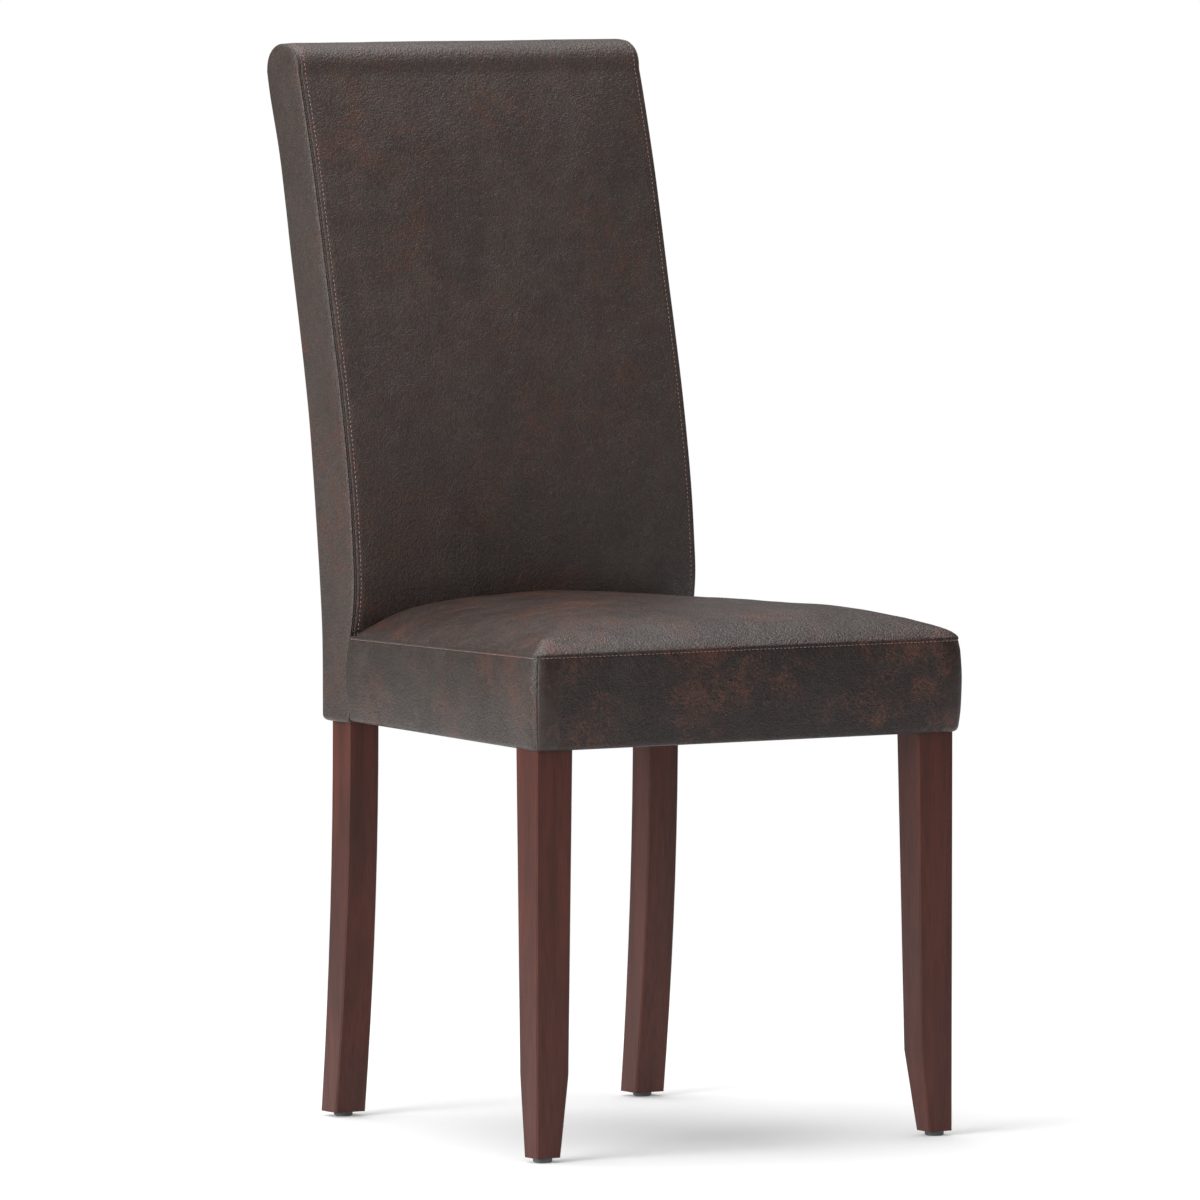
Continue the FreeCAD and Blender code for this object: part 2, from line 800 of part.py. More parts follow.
def stile_curve(start, shift, points):
    """Follow a stile's front or rear face from below the seat, then close through points."""
    foot = vector(0, value(start) + shift, value("underneath"))
    low = vector(0, foot.y, value("bend_start"))
    high = low + vector(0, value("bend_shift"), value("bend_end - bend_start"))
    corners = [high] + [vector(0, y, z) for y, z in points] + [foot]
    curves = [Part.LineSegment(foot, low), upright_arc(low, high.z - low.z, high.y - low.y)]
    curves += [Part.LineSegment(near, far) for near, far in zip(corners, corners[1:])]
    return [curve.toShape() for curve in curves]


def tangent_point(start, centre, radius, front):
    """Give the point where a line from start touches the roll, on its front or its rear."""
    away = start - centre
    turn = math.acos(radius / away.Length) * (-1 if front else 1)
    angle = math.atan2(away.z, away.y) + turn
    return centre + vector(0, math.cos(angle), math.sin(angle)) * radius


def bowed(start, end, rise):
    """Give a shallow arc between two points that bows towards the front by a small rise."""
    run = end - start
    normal = vector(0, -abs(run.z), abs(run.y)).normalize()
    return Part.Arc(start, (start + end) / 2 + normal * rise, end)


def back_wire(x, inset, crown):
    """Give the back's side view at one place across its width."""
    slope = value("back_slope")
    skew = inset * value("slope_length")
    bottom = value("band_bottom") + inset
    front, rear = value("back_face") + inset, value("back_rear") - inset
    lumbar, nose = value("lumbar_start"), value("lumbar_height")
    bulge = value("lumbar_bulge") + crown

    low = vector(x, front, lumbar)
    tip = vector(x, front - bulge, nose)
    halfway = (low + tip) / 2
    rise = value("lumbar_radius * back_slope / slope_length")
    shift = value("lumbar_radius * (1 - 1 / slope_length)")
    lean = tip + vector(0, shift, rise)
    flare = value("flare_start")
    front_flare = lean + vector(0, (flare - lean.z) * slope + skew - inset, flare - lean.z)

    roll = value("roll_radius")
    centre = vector(x, value("back_rear + back_rake") - roll, value("overall_height") - roll)
    radius = roll - inset
    on_front = tangent_point(front_flare, centre, radius, True)
    apex = centre + vector(0, 0, radius)

    bend_low = vector(x, rear, value("bend_start"))
    bend_high = vector(x, rear + value("bend_shift") + inset - skew, value("bend_end"))
    rear_flare = bend_high + vector(0, (flare - bend_high.z) * slope, flare - bend_high.z)
    on_rear = tangent_point(rear_flare, centre, radius, False)

    def over(first, second):
        middle = ((first + second) / 2 - centre).normalize() * radius + centre
        return Part.Arc(first, middle, second)

    corner = value("back_corner_radius") - inset
    heel_high = vector(x, rear, bottom + corner)
    heel_low = vector(x, rear - corner, bottom)
    heel_mid = vector(
        x, rear - corner * (1 - math.sqrt(0.5)), bottom + corner * (1 - math.sqrt(0.5))
    )
    foot = vector(x, front, bottom)
    bend_turn = math.atan(slope)
    bend_mid = bend_low + vector(
        0,
        (bend_high.y - rear) * (1 - math.cos(bend_turn / 2)) / (1 - math.cos(bend_turn)),
        value("bend_radius") * math.sin(bend_turn / 2),
    )
    curves = [
        Part.LineSegment(foot, low),
        upright_arc(low, halfway.z - low.z, halfway.y - low.y),
        upright_arc(tip, halfway.z - tip.z, halfway.y - tip.y),
        upright_arc(tip, rise, shift),
        Part.LineSegment(lean, front_flare),
        bowed(front_flare, on_front, value("flare_rise")),
        over(on_front, apex),
        over(apex, on_rear),
        bowed(on_rear, rear_flare, value("flare_rise") / 2),
        Part.LineSegment(rear_flare, bend_high),
        Part.Arc(bend_high, bend_mid, bend_low),
        Part.LineSegment(bend_low, heel_high),
        Part.Arc(heel_high, heel_mid, heel_low),
        Part.LineSegment(heel_low, foot),
    ]
    return Part.Wire([curve.toShape() for curve in curves])


def back_form(inset):
    """Give the whole padded back, crowned across its front and round along its side edges."""
    half = value("back_width") / 2 - inset
    edge = value("back_edge_radius")
    shoulder = half - edge
    shares = (-1.0, -0.6, 0.0, 0.6, 1.0)
    crown = value("back_crown")
    middle = Part.makeLoft(
        [back_wire(share * shoulder, inset, crown * (1 - share ** 2)) for share in shares],
        True,
        True,
    )
    ends = []
    for sign in SIDES.values():
        wires = []
        for angle in (0, 45, 90):
            out = math.sin(math.radians(angle)) * edge
            draw = (1 - math.cos(math.radians(angle))) * edge
            wires.append(back_wire(sign * (shoulder + out), inset + draw, 0))
        ends.append(Part.makeLoft(wires, True, True))
    return middle.fuse(ends)


def leg_wells(play):
    """Give the upright space where the four legs pass through the covers' hems."""
    wells = []
    low, high = value("underneath"), value("rail_bottom + leather") + play
    for sign in SIDES.values():
        xs = [sign * (value("leg_inner") - play), sign * (value("front_half") + play)]
        ys = [value("leg_front") - play, value("leg_back") + play]
        wells.append(prism([(xs[0], ys[0]), (xs[1], ys[0]), (xs[1], ys[1]), (xs[0], ys[1])], low, high))
        xs = [sign * (value("post_inner") - play), sign * (value("rear_half") + play)]
        ys = [value("post_front") - play, value("post_rear") + play]
        wells.append(prism([(xs[0], ys[0]), (xs[1], ys[0]), (xs[1], ys[1]), (xs[0], ys[1])], low, high))
    return wells


def corner_wedges():
    """Give the plan regions of the front strip and the two side strips, split at the corners."""
    reach = value("aside")
    half, front = value("seat_front_width") / 2, value("front_face")
    play = value("soft_gap") / 2
    low, high = value("underneath"), value("overhead")
    near = [(-half + play, front), (half - play, front)]
    front_points = [
        (near[0][0] - reach / 4, front - reach / 4),
        (near[1][0] + reach / 4, front - reach / 4),
        (near[1][0] - reach / 3, front + reach / 3),
        (near[0][0] + reach / 3, front + reach / 3),
    ]
    side_points = [
        (half + play + reach / 4, front - reach / 4),
        (half + play + reach / 4, front + 2 * reach),
        (half + play - reach / 3, front + 2 * reach),
        (half + play - reach / 3, front + reach / 3),
    ]
    mirrored = [(-x, y) for x, y in side_points]
    return {
        "front": prism(front_points, low, high),
        "left": prism(mirrored, low, high),
        "right": prism(side_points, low, high),
    }


def make_seat_upholstery():
    """Top panel, three bands, three padding strips and the crowned foam."""
    leather, gap = value("leather"), value("soft_gap")
    back_room = back_form(-gap)
    wells = leg_wells(gap)

    panel = seat_crown(0).cut(seat_crown(leather, 10.0)).cut(back_room)
    feature("seat_cover_top", panel)

    foam_low = value("deck_height")
    inset = leather + gap
    corner = value("seat_corner_radius")
    base = ruled_solid(
        [
            seat_wire(inset, foam_low, foam_low, corner),
            seat_wire(inset, value("seam_front"), value("seam_rear"), corner),
        ]
    )
    feature("seat_foam", base.fuse(seat_crown(inset)).removeSplitter().cut(back_room))

    shell = seat_box(0).cut(seat_box(leather, 10.0))
    hem = value("hem_width")
    low = value("band_bottom") - 1
    front, rear = value("front_face") + hem, value("back_face") + 10
    opening = prism(
        [
            (-seat_half_width(front) + hem, front),
            (seat_half_width(front) - hem, front),
            (seat_half_width(rear) - hem, rear),
            (-seat_half_width(rear) + hem, rear),
        ],
        low,
        low + 10,
    )
    shell = shell.cut([opening, back_room] + wells)

    frame_half = [
        (value("head_half") + gap, value("head_front") - gap),
        (value("head_half") + gap, value("leg_back")),
        (value("rear_half") + gap, value("post_front") + gap),
    ]
    frame = prism(
        frame_half + [(-x, y) for x, y in reversed(frame_half)], low, value("overhead")
    )
    padding = seat_box(leather + gap).cut([frame, back_room])
    padding = padding.common(everywhere(value("band_bottom"), value("deck_height") - gap))
    for place, wedge in corner_wedges().items():
        feature(f"seat_band_{place}", shell.common(wedge))
        feature(f"seat_padding_{place}", padding.common(wedge))


def make_back_upholstery():
    """Front panel that wraps over the top, two side gussets, outside back, foam and wadding."""
    aside, underneath, overhead = value("aside"), value("underneath"), value("overhead")
    leather, gap = value("leather"), value("soft_gap")
    half = value("back_width") / 2
    seam = half - value("back_edge_radius") - 0.5
    shell = back_form(0).cut(back_form(leather))
    wells = leg_wells(gap)
    middle_front = value("back_face + back_depth / 2")
    middle_top = value("back_rear + back_rake - roll_radius")
    seam_height = value("overall_height - rear_seam_drop")

    rear_side = slab(
        [
            (middle_front, underneath),
            (middle_front, value("bend_start")),
            (middle_top, seam_height),
            (middle_top + aside, seam_height),
            (middle_top + aside, underneath),
        ],
        seam - gap / 2,
    )
    front_side = slab(
        [
            (middle_front - gap, underneath),
            (middle_front - gap, value("bend_start")),
            (middle_top, seam_height + gap),
            (middle_top + aside, seam_height + gap),
            (middle_top + aside, overhead),
            (middle_front - aside, overhead),
            (middle_front - aside, underneath),
        ],
        seam - gap / 2,
    )
    rail_room = value("rear_half + (post_front - back_face) * rail_slope") + gap
    pass_through = [
        prism(
            [(-wide, -aside), (wide, -aside), (wide, middle_front), (-wide, middle_front)],
            underneath,
            top,
        )
        for wide, top in (
            (value("post_inner"), value("seam_rear") + 3),
            (rail_room, value("frame_top") + gap),
        )
    ]
    feature("back_cover_front", shell.common(front_side).cut(pass_through + wells))
    feature("back_cover_outside", shell.common(rear_side).cut(wells))
    for side_name, sign in SIDES.items():
        low, high = sorted((sign * seam, sign * (half + 10)))
        cheek = prism(
            [(low, -aside), (high, -aside), (high, aside), (low, aside)], underneath, overhead
        )
        feature(f"back_gusset_{side_name}", shell.common(cheek).cut(wells))

    padded = back_form(leather + gap)
    top_front = value("post_rear + stile_shift - stile_top_depth")
    crest_y = value("crest_straight * back_slope")
    crest_top = value("stile_top + crest_straight")
    crest_depth = value("stile_top_depth")
    round_top = crest_top + crest_depth * 0.52
    wrap_end = value("stile_top") - 5
    frame_front = stile_curve("post_front", -value("strap_thickness") - gap * 3, [
        (top_front - value("strap_thickness") - gap * 3, value("stile_top")),
        (top_front + crest_y - gap - 1, crest_top),
        (top_front + crest_y + crest_depth * 0.2, round_top),
        (top_front + crest_y + crest_depth * 0.85, round_top),
        (top_front + crest_y + crest_depth + gap + 1, crest_top),
        (top_front + crest_depth + gap, wrap_end),
        (top_front + aside, wrap_end),
        (top_front + aside, underneath),
    ])
    core = across(frame_front, value("rear_half") + gap)
    feature("back_foam", padded.cut([core] + pass_through))

    frame_rear = stile_curve("post_rear", gap, [
        (top_front + crest_depth - gap, wrap_end - gap),
        (top_front + aside, wrap_end - gap),
        (top_front + aside, underneath),
    ])
    feature("back_padding", padded.common(across(frame_rear, value("rear_half"))))


# Webbing and dust cover

def woven_strap(length, crossings, over_first, thickness, width, ramp):
    """Give one strap's solid along +X from its middle, passing over and under its crossings."""
    level = thickness / 2 + value("soft_gap") / 2
    points = [(-length / 2, 0.0)]
    for index, place in enumerate(crossings):
        side = level if (index % 2 == 0) == over_first else -level
        points.append((place - width / 2 - ramp / 3, side))
        points.append((place + width / 2 + ramp / 3, side))
    points.append((length / 2, 0.0))
    upper = [vector(x, 0, z + thickness / 2) for x, z in points]
    lower = [vector(x, 0, z - thickness / 2) for x, z in reversed(points)]
    outline = Part.makePolygon(upper + lower + upper[:1])
    strap = Part.Face(outline).extrude(vector(0, width, 0))
    strap.translate(vector(0, -width / 2, 0))
    return strap


def make_seat_webbing():
    """Two sets of elastic straps, woven over and under each other, on top of the rails."""
    width, thickness, ramp = value("strap_width"), value("strap_thickness"), value("strap_ramp")
    grip = value("strap_grip")
    mid_height = value("frame_top + strap_thickness + soft_gap")
    front, rear = value("head_front") + 2, value("rear_rail_front") + grip
    middle_y, length_y = (front + rear) / 2, rear - front
    spacing = value("strap_spacing")
    columns = [spacing * share for share in (-1.5, -0.5, 0.5, 1.5)]
    rows = [value("leg_back + row_start") + value("row_spacing") * index for index in range(5)]
    straps = []
    for index, column in enumerate(columns):
        places = [row - middle_y for row in rows]
        strap = woven_strap(length_y, places, index % 2 == 0, thickness, width, ramp)
        strap.rotate(vector(), vector(0, 0, 1), 90)
        strap.translate(vector(column, middle_y, mid_height))
        straps.append(strap)
    for index, row in enumerate(rows):
        share = (row - value("leg_back")) * value("rail_slope")
        half = value("front_half") - share - width / 2 * value("rail_slope") - 3
        strap = woven_strap(2 * half, columns, index % 2 == 1, thickness, width, ramp)
        strap.translate(vector(0, row, mid_height))
        straps.append(strap)
    feature("seat_webbing", Part.Compound(straps))


def make_back_webbing():
    """Flat elastic straps across the front of the stiles."""
    width, thickness = value("strap_width"), value("strap_thickness")
    straps = []
    slope = value("back_slope")
    top = value("stile_top")
    lean = math.degrees(math.atan(value(
        "(stile_shift - bend_shift + post_depth - stile_top_depth) / (stile_top - bend_end)"
    )))
    foot = vector(0, value("post_front + bend_shift"), value("bend_end"))
    along = vector(0, math.sin(math.radians(lean)), math.cos(math.radians(lean)))
    outward = vector(0, -along.z, along.y)
    for index in range(3):
        rise = width * 0.6 + index * value("back_strap_spacing")
        centre = foot + along * rise + outward * value("soft_gap")
        straps.append((centre, lean))
    for index in range(2):
        height = value("bend_end") - width * 1.1 - index * value("back_strap_spacing")
        angle = math.asin((height - value("bend_start")) / value("bend_radius"))
        shift = value("bend_radius") * (1 - math.cos(angle))
        centre = vector(0, value("post_front") + shift - 2 * value("soft_gap"), height)
        straps.append((centre, math.degrees(angle)))
    half = value("rear_half") - 4
    solids = []
    for centre, lean in straps:
        strap = Part.makeBox(2 * half, thickness, width, vector(-half, -thickness, -width / 2))
        strap.rotate(vector(), vector(1, 0, 0), -lean)
        strap.translate(centre)
        solids.append(strap)
    feature("back_webbing", Part.Compound(solids))


def make_dust_cover():
    """Thin black cloth under the seat, cut round the legs."""
    inset = value("dust_cover_inset")
    play = value("soft_gap") * 5
    half = [
        (value("leg_inner") - play, value("front_face") + inset * 1.5),
        (value("leg_inner") - play, value("leg_back") + play),
        (seat_half_width(value("leg_back")) - inset, value("leg_back") + play),
        (seat_half_width(value("post_front")) - inset, value("post_front") - play),
        (value("post_inner") - play, value("post_front") - play),
        (value("post_inner") - play, value("post_rear") - inset / 2),
    ]
    points = half + [(-x, y) for x, y in reversed(half)]
    low = value("band_bottom - dust_cover_thickness")
    feature("dust_cover", prism(points, low, value("band_bottom")))


make_front_legs()
make_rear_posts()
make_seat_rails()
make_back_rails()
make_joints()
make_corner_blocks()
make_glides()
drill_wood()
make_seat_webbing()
make_back_webbing()
make_dust_cover()
make_seat_upholstery()
make_back_upholstery()

doc.recompute()
faults = [item.Name for item in doc.Objects if "Invalid" in item.State or "Error" in item.State]
for label, thing in parts.items():
    if thing.Shape.isNull() or not thing.Shape.isValid() or not thing.Shape.Solids:
        faults.append(label)
if faults:
    raise RuntimeError("not built: " + ", ".join(faults))

os.makedirs("parts", exist_ok=True)
for label, thing in parts.items():
    thing.Shape.exportStep(f"parts/{label}.step")
print(len(parts), "sub-parts written")
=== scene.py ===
"""Looks of an upholstered parsons dining chair in distressed brown leather."""

import logging
import math
from dataclasses import dataclass
from enum import Enum
from functools import cache
from typing import Any, Callable, Iterable, Sequence

import bmesh
import bpy
from mathutils import Euler, Matrix, Vector, noise

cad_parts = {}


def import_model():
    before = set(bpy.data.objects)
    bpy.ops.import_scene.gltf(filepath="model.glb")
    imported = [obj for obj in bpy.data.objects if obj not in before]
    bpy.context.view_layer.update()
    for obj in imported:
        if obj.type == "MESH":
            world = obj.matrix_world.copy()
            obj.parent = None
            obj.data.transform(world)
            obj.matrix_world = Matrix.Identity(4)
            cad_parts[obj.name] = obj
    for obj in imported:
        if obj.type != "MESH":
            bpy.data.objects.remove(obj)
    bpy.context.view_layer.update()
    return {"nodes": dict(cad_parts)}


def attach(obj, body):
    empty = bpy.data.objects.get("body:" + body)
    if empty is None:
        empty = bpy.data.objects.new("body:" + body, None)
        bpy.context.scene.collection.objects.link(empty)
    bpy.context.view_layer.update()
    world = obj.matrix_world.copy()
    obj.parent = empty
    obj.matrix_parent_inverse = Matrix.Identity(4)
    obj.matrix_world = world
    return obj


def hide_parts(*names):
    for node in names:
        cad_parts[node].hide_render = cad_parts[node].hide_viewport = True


log = logging.getLogger("chair")

MM = 0.001
ROOT = "root"
AIM = (0.0, 0.0, 0.5)

Place = Callable[[float, float], Vector]
Colour = tuple[float, ...]


def srgb(red: int, green: int, blue: int) -> Colour:
    """Give the linear colour of an 8-bit screen colour.

    Args:
        red: Red, 0 to 255.
        green: Green, 0 to 255.
        blue: Blue, 0 to 255.

    Returns:
        Linear red, green and blue, with an alpha of one.
    """
    linear = [((part / 255 + 0.055) / 1.055) ** 2.4 for part in (red, green, blue)]
    return (*linear, 1.0)


def in_mm(*numbers: float) -> list[float]:
    """Give lengths in metres.

    Args:
        numbers: The lengths in millimetres.

    Returns:
        The same lengths in metres.
    """
    return [number * MM for number in numbers]


def smooth(low: float, high: float, number: float) -> float:
    """Give a smooth step from 0 at low to 1 at high.

    Args:
        low: Where the step starts.
        high: Where it ends.
        number: Where it is read.

    Returns:
        A value from 0 to 1.
    """
    share = min(1.0, max(0.0, (number - low) / (high - low)))
    return share * share * (3 - 2 * share)


def spread(start: float, end: float, step: float) -> list[float]:
    """Divide a length evenly.

    Args:
        start: First value.
        end: Last value.
        step: Largest step.

    Returns:
        The values, both ends among them.
    """
    count = max(1, math.ceil(abs(end - start) / step))
    return [start + (end - start) * index / count for index in range(count + 1)]


def graded(start: float, end: float, step: float, edge: Sequence[float]) -> list[float]:
    """Divide a length with close lines near both ends.

    Args:
        start: First value.
        end: Last value.
        step: Largest step in the middle.
        edge: Distances from each end that get a line of their own, rising.

    Returns:
        The values, both ends among them.
    """
    low = [start + distance for distance in edge]
    high = [end - distance for distance in reversed(edge)]
    return [start, *low[:-1], *spread(low[-1], high[0], step), *high[1:], end]


def groove(distance: float, width: float, depth: float) -> float:
    """Give the depth of a soft groove.

    Args:
        distance: Distance from its middle.
        width: Half its width.
        depth: Its depth in the middle.

    Returns:
        Its depth at that distance.
    """
    return math.exp(-((distance / width) ** 2)) * depth


@dataclass(frozen=True)
class Ripple:
    """Soft random swelling of padded leather.

    Attributes:
        across: Swellings for each metre along the first coordinate.
        up: Swellings for each metre along the second coordinate.
        seed: Picks the pattern.
        height: Height of a swelling.
    """

    across: float
    up: float
    seed: float
    height: float

    def at(self, first: float, second: float) -> float:
        """Read the swelling.

        Args:
            first: First coordinate.
            second: Second coordinate.

        Returns:
            Its height there.
        """
        place = Vector((first * self.across, second * self.up, self.seed))
        return noise.noise(place) * self.height


@dataclass(frozen=True)
class Curve:
    """Smooth line through stations.

    Attributes:
        stations: Pairs of (place, value), place rising.
    """

    stations: tuple[tuple[float, float], ...]

    def at(self, place: float) -> float:
        """Read the line.

        Args:
            place: Where it is read.

        Returns:
            The value there.
        """
        points = self.stations
        last = len(points) - 2
        index = 0
        while index < last and points[index + 1][0] < place:
            index += 1
        near, far = points[index], points[index + 1]
        before = points[max(index - 1, 0)]
        after = points[min(index + 2, len(points) - 1)]
        run = far[0] - near[0]
        share = min(1.0, max(0.0, (place - near[0]) / run))
        start = (far[1] - before[1]) / (far[0] - before[0]) * run
        end = (after[1] - near[1]) / (after[0] - near[0]) * run
        square, cube = share**2, share**3
        return (
            (2 * cube - 3 * square + 1) * near[1]
            + (cube - 2 * square + share) * start
            + (3 * square - 2 * cube) * far[1]
            + (cube - square) * end
        )


@dataclass(frozen=True)
class SeatPlan:
    """Outline and heights of the seat, in metres.

    Attributes:
        front: Y of the front edge.
        rear: Y where the seat meets the back.
        front_half: Half the width at the front.
        rear_half: Half the width at the rear.
        corner: Radius of the front corners.
        seam_front: Height of the top seam at the front.
        seam_rear: Height of the top seam at the rear.
        bottom: Height of the under edge.
    """

    front: float = -0.2739
    rear: float = 0.1264
    front_half: float = 0.2309
    rear_half: float = 0.1889
    corner: float = 0.012
    seam_front: float = 0.460
    seam_rear: float = 0.453
    bottom: float = 0.373

    def half(self, y: float) -> float:
        """Give half the width, corners left square.

        Args:
            y: Place from front to rear.

        Returns:
            Half the width there.
        """
        share = (y - self.front) / (self.rear - self.front)
        return self.front_half + (self.rear_half - self.front_half) * share

    def seam(self, y: float) -> float:
        """Give the height of the top seam.

        Args:
            y: Place from front to rear.

        Returns:
            The height there.
        """
        share = (y - self.front) / (self.rear - self.front)
        return self.seam_front + (self.seam_rear - self.seam_front) * share

    @property
    def turn(self) -> float:
        """Angle through which the outline turns at a front corner."""
        lean = math.atan2(self.front_half - self.rear_half, self.rear - self.front)
        return math.pi / 2 + lean

    @property
    def tangent(self) -> float:
        """Distance from the square corner to where its rounding starts."""
        return self.corner * math.tan(self.turn / 2)

    @property
    def side_length(self) -> float:
        """Length of the straight part of one side."""
        full = math.hypot(self.rear - self.front, self.front_half - self.rear_half)
        return full - self.tangent

    @property
    def corner_length(self) -> float:
        """Length of a rounded front corner."""
        return self.corner * self.turn

    @property
    def front_length(self) -> float:
        """Length of the straight front."""
        return 2 * (self.front_half - self.tangent)

    def path(self, run: float) -> tuple[Vector, Vector]:
        """Follow the outline round from the rear left to the rear right.

        Args:
            run: Distance from the middle of the front, negative to the left.

        Returns:
            The place and the outward direction, both in plan.
        """
        side = -1.0 if run < 0 else 1.0
        run = abs(run)
        flat = self.front_length / 2
        centre = Vector((flat, self.front + self.corner, 0))
        if run <= flat:
            place, out = Vector((run, self.front, 0)), Vector((0, -1, 0))
        else:
            angle = min((run - flat) / self.corner, self.turn)
            out = Vector((math.sin(angle), -math.cos(angle), 0))
            place = centre + out * self.corner
            rest = max(run - flat - self.corner_length, 0.0)
            place += Vector((math.cos(angle), math.sin(angle), 0)) * rest
        return Vector((place.x * side, place.y, 0)), Vector((out.x * side, out.y, 0))


@dataclass(frozen=True)
class BackForm:
    """Side view of the padded back, in metres.

    Attributes:
        half: Half the width.
        crown: How far the front panel swells in its middle.
        front: Y of the front seam by height.
        rear: Y of the rear by height.
        roll: Height of the rolled top above its centre.
        square: How round the roll is, 1 for an ellipse and less for a fuller form.
        roll_z: Height of the roll's centre.
        rear_seam: Height of the seam across the rear.
        bottom: Height of the under edge.
        heel: Radius of the rear's lower edge.
    """

    half: float = 0.1885
    crown: float = 0.006
    front: Curve = Curve(
        (
            (0.3730, 0.1264), (0.4250, 0.1259), (0.4500, 0.1242), (0.4750, 0.1192),
            (0.5000, 0.1167), (0.5250, 0.1182), (0.5750, 0.1232), (0.6250, 0.1312),
            (0.6750, 0.1409), (0.7250, 0.1524), (0.7750, 0.1645), (0.8250, 0.1762),
            (0.8750, 0.1882), (0.9250, 0.2020), (0.9600, 0.2124), (0.9725, 0.2166),
        )
    )
    rear: Curve = Curve(
        (
            (0.3730, 0.1754), (0.4500, 0.1762), (0.5000, 0.1805), (0.5500, 0.1862),
            (0.6000, 0.1924), (0.6500, 0.1995), (0.7000, 0.2092), (0.7500, 0.2202),
            (0.8000, 0.2318), (0.8500, 0.2424), (0.9000, 0.2542), (0.9500, 0.2702),
            (0.9725, 0.2759),
        )
    )
    roll: float = 0.0275
    square: float = 0.82
    roll_z: float = 0.9725
    rear_seam: float = 0.955
    bottom: float = 0.373
    heel: float = 0.005

    def side(self, height: float, front: bool) -> Vector:
        """Give a point of the side view below the roll.

        Args:
            height: Height of the point.
            front: Whether it lies on the front.

        Returns:
            The point, with X at zero.
        """
        if front:
            return Vector((0, self.front.at(height), height))
        lift = min(height - self.bottom, self.heel)
        cut = self.heel - math.sqrt(self.heel**2 - (self.heel - lift) ** 2)
        return Vector((0, self.rear.at(height) - cut, height))

    @property
    def middle(self) -> Vector:
        """Centre of the roll."""
        front, rear = self.front.at(self.roll_z), self.rear.at(self.roll_z)
        return Vector((0, (front + rear) / 2, self.roll_z))

    @property
    def reach(self) -> float:
        """Half the depth of the roll at its centre."""
        return (self.rear.at(self.roll_z) - self.front.at(self.roll_z)) / 2

    def over(self, angle: float) -> Vector:
        """Give a point of the roll.

        Args:
            angle: Turn from its front, 0, over the top to its rear, pi.

        Returns:
            The point, with X at zero.
        """
        rise = abs(math.sin(angle)) ** self.square
        shift = Vector((0, -math.cos(angle) * self.reach, rise * self.roll))
        return self.middle + shift

    def loop(self, low: float, rear_low: float, step: float) -> list[Vector]:
        """Follow the front up, over the roll and down the rear.

        Args:
            low: Height at which the front starts.
            rear_low: Height at which the rear ends.
            step: Largest step.

        Returns:
            The points, with X at zero.
        """
        points = [self.side(height, True) for height in spread(low, self.roll_z, step)]
        points += [self.over(math.pi * index / 20) for index in range(1, 20)]
        points += [self.side(height, False) for height in spread(self.roll_z, rear_low, step)]
        return points


SEAT = SeatPlan()
BACK = BackForm()


